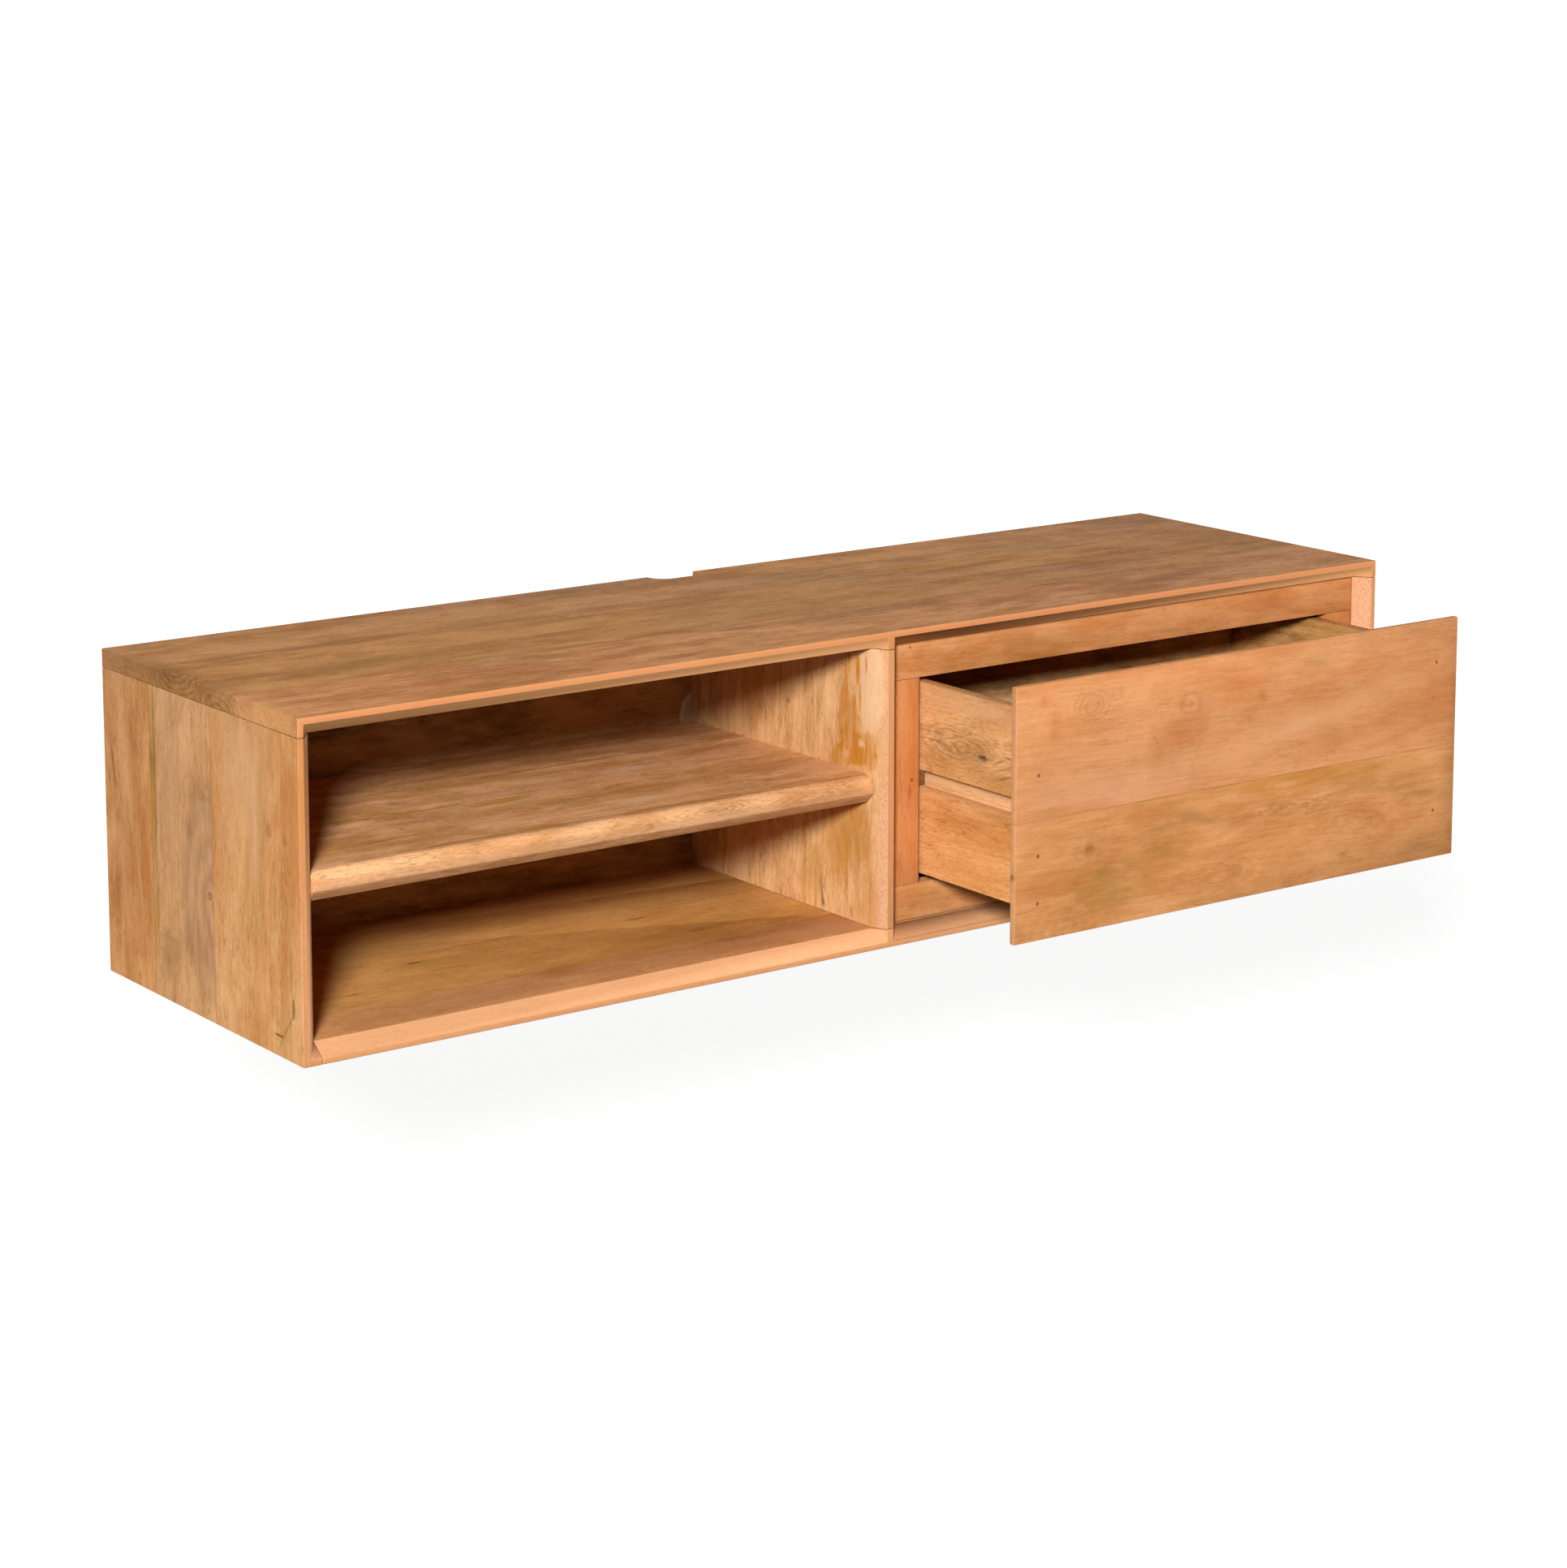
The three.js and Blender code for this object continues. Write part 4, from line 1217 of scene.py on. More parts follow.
    def divider(self) -> Wood:
        """The divider: pale wood with amber gum that has run down near its front."""
        face = Face(0, -0.013)
        amber = "#b4701e"
        return Wood(
            Axes.TALL_DEEP,
            (Plank(1.0, "#d8a878", "#c08e58", (-0.12, 0.08), 0.09),),
            vein="#b8853e",
            blush="#b8763e",
            mottle=0.5,
            ropes=0.34,
            veins=0.6,
            blushes=0.3,
            threads=0.3,
            flat="#cc8e5c",
            splay="#d09c78",
            nose_mix=0.9,
            blemishes=(
                face.mark(-0.398, 0.28, 0.022, 0.065, "#deb690", 0.8, fray=0.6, edge=0.6),
                face.mark(-0.36, 0.24, 0.022, 0.035, "#b06e24", 0.8, fray=1.2, edge=0.6),
                face.mark(-0.372, 0.205, 0.036, 0.024, amber, 0.95, fray=1.2, edge=0.8),
                face.mark(-0.345, 0.19, 0.020, 0.012, "#b87c30", 0.8, fray=1.2, edge=0.6),
                face.mark(-0.399, 0.205, 0.010, 0.026, amber, 0.8, fray=0.8, edge=0.6),
                face.mark(-0.356, 0.272, 0.0040, 0.035, amber, 1.0, fray=1.0, edge=0.8),
                face.mark(-0.369, 0.240, 0.0042, 0.026, amber, 1.0, fray=1.0, edge=0.8),
                face.mark(-0.377, 0.292, 0.0034, 0.020, amber, 1.0, fray=1.0, edge=0.8),
                face.mark(-0.381, 0.262, 0.0022, 0.020, amber, 0.8, fray=0.8, edge=0.7),
                face.mark(-0.392, 0.300, 0.0020, 0.012, amber, 0.8, fray=0.8, edge=0.7),
                face.mark(-0.362, 0.300, 0.0030, 0.018, amber, 0.7, fray=0.8, edge=0.6),
                face.mark(-0.384, 0.212, 0.006, 0.005, "#dcb088", 0.7, fray=0.8, edge=0.6),
                face.mark(-0.356, 0.196, 0.007, 0.006, "#d8a874", 0.6, fray=0.8, edge=0.5),
                face.mark(-0.335, 0.10, 0.030, 0.055, "#b47c30", 0.7, fray=1.3, edge=0.5),
                face.mark(-0.385, 0.12, 0.016, 0.05, "#ac7026", 0.7, fray=1.3, edge=0.5),
                face.mark(-0.300, 0.12, 0.020, 0.05, "#cca06a", 0.5, fray=0.8),
                face.mark(-0.400, 0.085, 0.004, 0.03, amber, 0.6, fray=0.9, edge=0.6),
                face.mark(-0.366, 0.135, 0.003, 0.010, amber, 0.7, fray=0.9, edge=0.6),
                face.mark(-0.358, 0.055, 0.004, 0.012, amber, 0.6, fray=0.9, edge=0.6),
                face.mark(-0.314, 0.024, 0.0024, 0.008, "#5c3814", 0.95, fray=0.7, edge=0.5),
                face.mark(-0.3165, 0.019, 0.0018, 0.004, "#4a2c10", 0.9, fray=0.7, edge=0.5),
                face.mark(-0.367, 0.019, 0.0030, 0.007, "#7e4e20", 0.8, fray=0.7, edge=0.3),
                face.mark(-0.250, 0.236, 0.0028, 0.003, "#7a4c24", 0.8, fray=0.7),
                face.mark(-0.235, 0.26, 0.0022, 0.03, "#9c6834", 0.5, fray=0.8),
                face.mark(-0.285, 0.26, 0.0024, 0.04, "#a8743c", 0.5, fray=0.8),
                face.mark(-0.300, 0.25, 0.0020, 0.04, "#e2b88c", 0.6, fray=0.8),
                face.mark(-0.322, 0.25, 0.0024, 0.05, "#e4bc90", 0.6, fray=0.8),
                face.mark(-0.198, 0.048, 0.002, 0.003, "#6e4420", 0.8, fray=0.6),
                face.mark(-0.280, 0.08, 0.003, 0.02, "#98642c", 0.5, fray=0.9),
            ),
            # dark joint lines, partly painted shade of the grooves at the joints
            joints=((2, 0.32), (2, 0.01)),
        )

    def bottom(self) -> Wood:
        """The bottom: golden brown planks with short checks."""
        face = Face(2, 0.01, 0.01)
        return Wood(
            Axes.LONG_FLAT,
            (
                Plank(0.205, "#d69c66", "#c08450", (-0.1, 0.09), 0.27),
                Plank(0.525, "#d69e5c", "#c08644", (0.02, -0.09), 0.81),
                Plank(1.0, "#ce9858", "#b88042", (0.1, -0.08), 0.55),
            ),
            vein="#ac7a34",
            blush="#ba7844",
            bands=0.03,
            lines=0.03,
            mottle=0.34,
            ropes=0.12,
            veins=0.35,
            blushes=0.3,
            threads=0.12,
            flat="#dc9c6c",
            splay="#e2a67a",
            nose_mix=0.7,
            stipple=0.12,
            blemishes=(
                face.mark(-0.199, -0.221, 0.016, 0.0018, "#44240e", 0.9, fray=0.6, edge=0.5),
                face.mark(-0.165, -0.214, 0.020, 0.0018, "#7a4a22", 0.6, fray=0.6),
                face.mark(-0.485, -0.226, 0.010, 0.0022, "#54300f", 0.9, fray=0.6, edge=0.4),
                face.mark(-0.595, -0.289, 0.010, 0.0014, "#5c3616", 0.85, fray=0.6),
                face.mark(-0.109, -0.236, 0.007, 0.0022, "#7a4e26", 0.7, fray=0.6),
                face.mark(-0.189, -0.281, 0.016, 0.0022, "#80522a", 0.6, fray=0.6),
                face.mark(-0.172, -0.298, 0.018, 0.005, "#8a5a2c", 0.6, fray=0.7),
                face.mark(-0.151, -0.329, 0.010, 0.0016, "#6a4020", 0.8, fray=0.6),
                face.mark(-0.36, -0.20, 0.09, 0.003, "#a87438", 0.6, fray=0.5),
                face.mark(-0.37, -0.345, 0.03, 0.016, "#a46a34", 0.6, fray=0.7),
                face.mark(-0.15, -0.35, 0.07, 0.008, "#a0662e", 0.55, fray=0.7),
                face.mark(-0.50, -0.37, 0.06, 0.028, "#ca966e", 0.55, fray=0.7),
                face.mark(-0.25, -0.375, 0.08, 0.02, "#c48c62", 0.5, fray=0.7),
                face.mark(-0.05, -0.37, 0.05, 0.03, "#cc9874", 0.6, fray=0.6),
                face.mark(-0.19, -0.30, 0.08, 0.03, "#aa7430", 0.5, fray=0.7),
            ),
        )

    def shelf(self) -> Wood:
        """The shelf: pinkish brown with golden streaks, and a pale wavy nose."""
        face = Face(2, 0.18, 0.01)
        nose = Face(1, -0.407)
        return Wood(
            Axes.LONG_FLAT,
            (Plank(1.0, "#efb582", "#cd925a", (-0.08, -0.03), 0.33),),
            vein="#c08a3c",
            blush="#c47a40",
            wave=0.03,
            mottle=0.5,
            ropes=0.16,
            veins=0.5,
            blushes=0.38,
            threads=0.34,
            pores=0.22,
            flat="#c08e66",
            nose_mix=0.55,
            blemishes=(
                # Painted shade: the nose's downward-facing undercut is coloured darker along its whole
                # length.
                Blemish((-0.37, -0.400, 0.150), (3.0, 0.03, 0.013), "#a8744a", 0.75, fray=0.04, edge=0.9),
                face.mark(-0.40, -0.262, 0.055, 0.011, "#b88224", 0.85, fray=1.0, edge=0.6),
                face.mark(-0.37, -0.285, 0.06, 0.006, "#c49a4c", 0.6, fray=0.7),
                face.mark(-0.30, -0.300, 0.10, 0.0018, "#8a5a30", 0.6, fray=0.6),
                face.mark(-0.47, -0.250, 0.04, 0.0020, "#7e5228", 0.7, fray=0.8),
                face.mark(-0.36, -0.245, 0.05, 0.0025, "#8a5a2e", 0.6, fray=0.6),
                face.mark(-0.50, -0.275, 0.03, 0.012, "#b4714c", 0.5, fray=0.7),
                face.mark(-0.495, -0.208, 0.010, 0.006, "#80502e", 0.7, fray=0.8),
                face.mark(-0.543, -0.304, 0.004, 0.005, "#74482a", 0.7, fray=0.8),
                face.mark(-0.47, -0.160, 0.05, 0.004, "#96682e", 0.6, fray=0.7),
                face.mark(-0.42, -0.175, 0.05, 0.008, "#b0843c", 0.5, fray=0.8),
                face.mark(-0.22, -0.162, 0.16, 0.0035, "#865428", 0.6, fray=0.5),
                face.mark(-0.22, -0.222, 0.04, 0.010, "#f0c4a4", 0.7, fray=1.2, edge=0.3),
                face.mark(-0.28, -0.345, 0.03, 0.010, "#f0c4a4", 0.6, fray=1.2, edge=0.3),
                face.mark(-0.10, -0.195, 0.05, 0.025, "#a8683a", 0.6, fray=0.8),
                face.mark(-0.155, -0.278, 0.018, 0.012, "#bc8830", 0.8, fray=1.0, edge=0.5),
                face.mark(-0.115, -0.352, 0.007, 0.005, "#865634", 0.7, fray=0.8),
                face.mark(-0.04, -0.33, 0.04, 0.03, "#dcaa80", 0.5, fray=0.6),
                face.mark(-0.56, -0.35, 0.04, 0.008, "#bc8a34", 0.8, fray=1.2, edge=0.5),
                face.mark(-0.58, -0.335, 0.03, 0.003, "#865a2e", 0.6, fray=0.8),
                face.mark(-0.50, -0.385, 0.14, 0.0030, "#8e5c34", 0.55, fray=0.7),
                face.mark(-0.28, -0.385, 0.12, 0.0030, "#8e5c34", 0.5, fray=0.7),
                nose.mark(-0.22, 0.172, 0.05, 0.006, "#9a6a44", 0.6, 0.02, 0.6, 4.0),
                nose.mark(-0.10, 0.168, 0.05, 0.006, "#a87650", 0.5, 0.02, 0.6, 3.0),
                nose.mark(-0.40, 0.166, 0.07, 0.005, "#a87650", 0.5, 0.02, 0.6, 3.0),
                nose.mark(-0.60, 0.164, 0.06, 0.005, "#a07048", 0.5, 0.02, 0.6, 3.0),
            ),
        )

    def back(self) -> Wood:
        """The back panels: thin brown boards."""
        return Wood(
            Axes.LONG_UPRIGHT,
            (
                Plank(0.4, "#b08048", "#805828", (-0.05, 0.09), 0.44),
                Plank(1.0, "#b48450", "#845c2c", (0.05, 0.09), 0.91),
            ),
            vein="#7a5624",
            ropes=0.3,
            blemishes=(
                Blemish((-0.474, -0.062, 0.235), (0.06, 0.02, 0.012), "#38200e", 0.75, 0.0, 0.6),
            ),
        )

    def boards(self) -> list[Board]:
        """The boards of the carcass."""
        back = self.back()
        return [
            Board("top_board", "top_wood", self.top()),
            Board("left_side", "side_wood", self.left()),
            Board("right_side", "side_wood", self.right()),
            Board("divider", "divider_wood", self.divider()),
            Board("bottom_board", "bottom_wood", self.bottom()),
            Board("shelf", "shelf_wood", self.shelf()),
            Board("left_back_panel", "back_wood", back, 0.4 * MM),
            Board("right_back_panel", "back_wood", back, 0.4 * MM),
        ]

    def build(self, shop: Workshop) -> None:
        """Makes the boards.

        Args:
            shop: The workshop.
        """
        for board in self.boards():
            shop.board(board, self.body)


@dataclass
class FaceFrame:
    """Rails and stiles round the drawer's opening."""

    body: str = "cabinet"
    ease: float = 0.6 * MM
    rail_light: str = "#d49460"
    rail_dark: str = "#ba743c"
    low_light: str = "#d89e6c"
    low_dark: str = "#be7e48"
    stile_light: str = "#ca8450"
    stile_dark: str = "#b56e38"
    # Dark lines round the frame's outer edges, where it meets the boards: joint lines widened with painted
    # shade of the recess behind their noses; gap holds their width and darkness.
    rim_joint_shade: tuple[tuple[int, float], ...] = ((0, 0.013), (0, 0.704), (2, 0.32), (2, 0.01))
    gap: tuple[float, float] = (2.6 * MM, 0.55)

    def build(self, shop: Workshop) -> None:
        """Makes the four pieces.

        Args:
            shop: The workshop.
        """
        face = Face(1, -0.402)
        shadow = face.mark(0.013, 0.165, 0.0055, 1.0, "#7c4a24", 0.8)
        upper = (
            shadow,
            face.mark(0.039, 0.315, 0.0016, 0.0016, "#70401f", 0.8, deep=0.004),
            face.mark(0.30, 0.31, 0.05, 0.010, "#c07038", 0.5, fray=0.6),
            face.mark(0.21, 0.295, 0.05, 0.012, "#a8743c", 0.5, fray=0.9),
            face.mark(0.45, 0.305, 0.07, 0.008, "#d69a64", 0.5, fray=0.7),
            face.mark(0.58, 0.30, 0.05, 0.012, "#be703c", 0.45, fray=0.7),
        )
        lower = (shadow, face.mark(0.07, 0.025, 0.06, 0.0035, "#8a5a30", 0.6, 0.01, 0.8, 2.0))
        left = (
            shadow,
            face.mark(0.045, 0.20, 0.006, 0.05, "#b4642e", 0.4, fray=0.5),
            face.mark(0.040, 0.155, 0.0016, 0.006, "#8a4e26", 0.7, fray=0.6, deep=0.01),
        )
        rail = (Axes.LONG_UPRIGHT, self.rail_light, self.rail_dark)
        low = (Axes.LONG_UPRIGHT, self.low_light, self.low_dark)
        stile = (Axes.TALL_WIDE, self.stile_light, self.stile_dark)
        # Painted shade: a dark line along the left stile's inner edge, beside the drawer's side.
        stile_edge_shade = ((0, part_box("frame_left_stile")[1][0]),)
        for node, (axes, light, dark), seed, spots, edge in (
            ("frame_top_rail", rail, 0.12, upper, ()),
            ("frame_bottom_rail", low, 0.62, lower, ()),
            ("frame_left_stile", stile, 0.34, left, stile_edge_shade),
            ("frame_right_stile", stile, 0.84, (), ()),
        ):
            wood = Wood(
                axes,
                (Plank(1.0, light, dark, (0.03, 0.09), seed),),
                blush="#b4683a",
                lines=0.06,
                veins=0.15,
                blushes=0.25,
                threads=0.12,
                pores=0.08,
                blemishes=spots,
                joints=self.rim_joint_shade + edge,
                joint=self.gap,
            )
            shop.board(Board(node, "frame_wood", wood, self.ease), self.body)


@dataclass
class Drawer:
    """The drawer's front and box."""

    body: str = "drawer"

    def front(self) -> Wood:
        """The front: two planks, the upper one with swirling knots, the lower one wispy."""
        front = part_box("drawer_front")[0][1]
        face = Face(1, front, 0.03)
        plank = Face(1, front, 0.03, held=True)
        rise = (0.985, 0.0, 0.17)
        fall = (0.97, 0.0, -0.24)
        edge = Face(0, 0.0315, 0.002)
        return Wood(
            Axes.LONG_UPRIGHT,
            (
                Plank(0.47, "#de9e66", "#c68048", (-0.12, 0.09), 0.24),
                Plank(1.0, "#da9866", "#ca834e", (0.07, 0.09), 0.52),
            ),
            vein="#b08046",
            blush="#c4743e",
            ring_width=0.026,
            wander=0.05,
            wave=0.03,
            bands=0.2,
            lines=0.08,
            mottle=0.34,
            ropes=0.1,
            veins=0.14,
            blushes=0.3,
            threads=0.14,
            pores=0.05,
            blemishes=(
                plank.mark(0.136, 0.272, 0.030, 0.020, "#94541f", 0.5, 0.0, 0.8, 3.5),
                plank.mark(0.136, 0.272, 0.014, 0.009, "#c88c5c", 0.6, 0.0, 0.5),
                face.mark(0.148, 0.274, 0.004, 0.003, "#96592c", 0.75, 0.0, 0.5, 1.0, deep=0.01),
                plank.mark(0.165, 0.280, 0.024, 0.010, "#bc7c44", 0.5, 0.0, 0.9, 1.6),
                face.mark(0.085, 0.256, 0.010, 0.020, "#bc6c30", 0.6, 0.0, 0.9),
                face.mark(0.110, 0.258, 0.022, 0.010, "#c47a40", 0.6, 0.0, 0.9),
                face.mark(0.070, 0.285, 0.006, 0.008, "#b87038", 0.5, 0.0, 0.9),
                plank.mark(0.278, 0.256, 0.022, 0.016, "#9c5626", 0.5, 0.0, 0.9, 1.4),
                face.mark(0.266, 0.258, 0.008, 0.012, "#bc6f3c", 0.55, 0.0, 0.7),
                face.mark(0.262, 0.226, 0.030, 0.018, "#bc6a34", 0.5, 0.0, 1.2),
                face.mark(0.234, 0.206, 0.016, 0.010, "#b26a36", 0.45, 0.0, 1.2),
                face.mark(0.295, 0.238, 0.010, 0.026, "#c87c48", 0.5, 0.0, 0.7),
                face.mark(0.345, 0.269, 0.044, 0.014, "#c07038", 0.5, 0.0, 1.2),
                face.mark(0.383, 0.252, 0.006, 0.010, "#b8672f", 0.5, 0.0, 0.8),
                plank.mark(0.424, 0.262, 0.030, 0.018, "#b0763c", 0.3, 0.0, 1.2, 1.4),
                face.mark(0.465, 0.280, 0.030, 0.010, "#b88a50", 0.45, 0.0, 0.9),
                face.mark(0.205, 0.20, 0.02, 0.006, "#b07a44", 0.4, 0.0, 0.9),
                face.mark(0.470, 0.215, 0.02, 0.012, "#e6ac7c", 0.55, fray=0.6, run=rise, length=0.14),
                face.mark(0.520, 0.186, 0.02, 0.008, "#c07a48", 0.5, fray=0.6, run=rise, length=0.13),
                face.mark(0.600, 0.178, 0.02, 0.004, "#b87444", 0.5, fray=0.6, run=rise, length=0.08),
                plank.mark(0.15, 0.178, 0.12, 0.016, "#e2a880", 0.5, fray=0.6),
                plank.mark(0.493, 0.195, 0.016, 0.009, "#b47c4c", 0.4, 0.0, 0.3, 0.0),
                plank.mark(0.45, 0.148, 0.14, 0.010, "#c08030", 0.7, 0.0, 0.9, edge=0.3),
                plank.mark(0.335, 0.143, 0.018, 0.005, "#dcaa72", 0.6, 0.0, 0.9, edge=0.5),
                plank.mark(0.420, 0.145, 0.020, 0.004, "#dcaa72", 0.6, 0.0, 0.9, edge=0.5),
                plank.mark(0.430, 0.118, 0.07, 0.012, "#8e5e2a", 0.55, 0.0, 1.6, 3.0),
                plank.mark(0.530, 0.085, 0.07, 0.020, "#98682f", 0.4, 0.0, 1.5, 3.0),
                plank.mark(0.330, 0.060, 0.07, 0.022, "#98682f", 0.4, 0.0, 1.5, 3.0),
                face.mark(0.135, 0.117, 0.008, 0.007, "#8a5a2c", 0.7, 0.012, 0.8, deep=0.02),
                plank.mark(0.135, 0.117, 0.03, 0.024, "#a0703c", 0.4, 0.0, 1.1, 1.5, deep=0.02),
                plank.mark(0.155, 0.072, 0.05, 0.030, "#94702f", 0.6, 0.0, 1.5),
                plank.mark(0.240, 0.105, 0.04, 0.030, "#a0702f", 0.5, 0.0, 1.5),
                face.mark(0.300, 0.125, 0.05, 0.008, "#9c6a34", 0.5, fray=1.4, run=fall, length=0.05),
                face.mark(0.560, 0.125, 0.05, 0.010, "#a4702e", 0.45, fray=1.5, run=fall, length=0.09),
                face.mark(0.645, 0.105, 0.05, 0.008, "#946434", 0.45, fray=1.4, run=fall, length=0.03),
                plank.mark(0.630, 0.045, 0.03, 0.010, "#9c7040", 0.45, fray=1.4),
                face.mark(0.510, 0.052, 0.007, 0.003, "#8a5e34", 0.6, fray=0.9),
                plank.mark(0.10, 0.035, 0.06, 0.040, "#b0743a", 0.35, 0.0, 0.5, 4.0, deep=0.05),
                face.mark(0.649, 0.214, 0.0014, 0.0014, "#80502c", 0.7, deep=0.004),
                edge.mark(-0.585, 0.20, 0.02, 0.12, "#d8a078", 0.75, fray=0.5),
                edge.mark(-0.585, 0.07, 0.02, 0.06, "#d2a070", 0.75, fray=0.5),
                edge.mark(-0.588, 0.099, 0.004, 0.004, "#6a4222", 0.8, fray=0.7),
            ),
        )

    def left(self) -> Wood:
        """The left side of the box, with a dark figured knot and a paler groove."""
        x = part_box("drawer_left_side")[0][0]
        face = Face(0, x)
        fan = (0.0, 0.94, -0.34)
        return Wood(
            Axes.DEEP_UPRIGHT,
            (
                Plank(0.47, "#de9f66", "#c8854a", (0.03, 0.09), 0.38),
                Plank(1.0, "#dca46e", "#c0874e", (0.03, 0.06), 0.72),
            ),
            vein="#9c7040",
            lines=0.16,
            veins=0.3,
            threads=0.34,
            pores=0.2,
            blemishes=(
                face.mark(-0.470, 0.215, 0.065, 0.020, "#6a421c", 0.8, 0.0, 0.8, 4.0, held=True),
                face.mark(-0.490, 0.212, 0.050, 0.016, "#a4784a", 0.5, 0.0, 0.7, held=True),
                face.mark(-0.507, 0.209, 0.009, 0.005, "#4a2a10", 0.95, 0.0, 0.6, edge=0.5),
                face.mark(-0.500, 0.206, 0.008, 0.0025, "#8e7450", 0.85, 0.0, 0.6, edge=0.3),
                face.mark(-0.552, 0.217, 0.006, 0.0012, "#5a3420", 0.8, fray=0.4),
                face.mark(-0.542, 0.203, 0.012, 0.0014, "#6a4226", 0.75, fray=0.6, run=fan, length=0.014),
                face.mark(-0.545, 0.194, 0.012, 0.0014, "#6a4226", 0.7, fray=0.6, run=fan, length=0.016),
                face.mark(-0.535, 0.210, 0.012, 0.0012, "#764a2a", 0.65, fray=0.6, run=fan, length=0.012),
                face.mark(-0.560, 0.205, 0.008, 0.012, "#b87a58", 0.5, fray=0.5),
                face.mark(-0.420, 0.214, 0.018, 0.0009, "#5e3c20", 0.75, fray=0.4),
                face.mark(-0.50, 0.262, 0.07, 0.012, "#e4b08a", 0.6, fray=0.6),
                Blemish((x + 0.008, -0.49, 0.1672), (0.0045, 0.4, 0.012), "#d6aa7c", 0.85, fray=0.3),
                Blemish((x + 0.002, -0.49, 0.157), (0.004, 0.4, 0.0022), "#b07c62", 0.7, fray=0.3),
                face.mark(-0.53, 0.148, 0.03, 0.004, "#9c6a3a", 0.5, fray=1.2),
                face.mark(-0.50, 0.08, 0.05, 0.04, "#d8904e", 0.4, fray=0.8, held=True),
            ),
        )

    def boards(self) -> list[Board]:
        """The boards of the drawer."""
        right = Wood(
            Axes.DEEP_UPRIGHT,
            (Plank(1.0, "#c69458", "#986a3a", (0.03, 0.06), 0.08),),
            vein="#7c5828",
            mottle=0.5,
            ropes=0.3,
            veins=0.5,
        )
        back = Wood(
            Axes.LONG_UPRIGHT,
            (Plank(1.0, "#d0a270", "#986e42", (0.03, 0.06), 0.68),),
            mottle=0.5,
        )
        bottom = Wood(
            Axes.LONG_FLAT,
            (
                Plank(0.5, "#b08a5c", "#7c6038", (0.03, 0.06), 0.28),
                Plank(1.0, "#b88e60", "#80643a", (0.03, 0.06), 0.78),
            ),
            mottle=0.6,
        )
        return [
            Board("drawer_front", "drawer_front_wood", self.front(), 0.8 * MM),
            Board("drawer_left_side", "drawer_box_wood", self.left(), 0.5 * MM),
            Board("drawer_right_side", "drawer_box_wood", right, 0.5 * MM),
            Board("drawer_back", "drawer_box_wood", back, 0.5 * MM),
            Board("drawer_bottom", "drawer_bottom_wood", bottom, 0.3 * MM),
        ]

    def build(self, shop: Workshop) -> None:
        """Makes the boards.

        Args:
            shop: The workshop.
        """
        for board in self.boards():
            shop.board(board, self.body)


@dataclass
class HiddenWood:
    """Runners, packers, hanging rails and dowels."""

    body: str = "cabinet"

    def build(self, shop: Workshop) -> None:
        """Makes the pieces.

        Args:
            shop: The workshop.
        """
        runner = Wood(Axes.DEEP_UPRIGHT, (Plank(1.0, "#7c5632", "#5c3c20", (0.02, 0.03), 0.46),))
        packer = Wood(Axes.DEEP_UPRIGHT, (Plank(1.0, "#c09668", "#a07448", (0.02, 0.03), 0.46),))
        rail = Wood(Axes.LONG_UPRIGHT, (Plank(1.0, "#c09668", "#a07448", (0.02, 0.05), 0.57),))
        for side in ("left", "right"):
            shop.board(Board(f"{side}_runner", "runner_wood", runner, 0.6 * MM), self.body)
            shop.board(Board(f"{side}_runner_packer", "runner_wood", packer, 0.6 * MM), self.body)
            shop.board(Board(f"{side}_hanging_rail", "hanging_rail_wood", rail, 0.8 * MM), self.body)
        beech = Wood(Axes.TALL_DEEP, (Plank(1.0, "#d0b48a", "#b8966a", (0.02, 0.05), 0.5),))
        low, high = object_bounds()
        pale = beech.material("dowel_beech", shop.groups, Vector(low), Vector(high))
        for node in shop.nodes:
            if "_dowel_" in node:
                shop.repaint(node, pale)


class Facing(Enum):
    """Which way a fastener's head faces, and which corner of its box the head is at."""

    FRONT = ((0.0, -1.0, 0.0), 1, 0)
    REAR = ((0.0, 1.0, 0.0), 1, 1)
    RIGHT = ((1.0, 0.0, 0.0), 0, 1)
    LEFT = ((-1.0, 0.0, 0.0), 0, 0)

    def head(self, node: str) -> Vector:
        """The middle of the head of a fastener's solid."""
        low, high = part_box(node)
        place = (low + high) / 2
        axis, end = self.value[1:]
        place[axis] = (low, high)[end][axis]
        return place


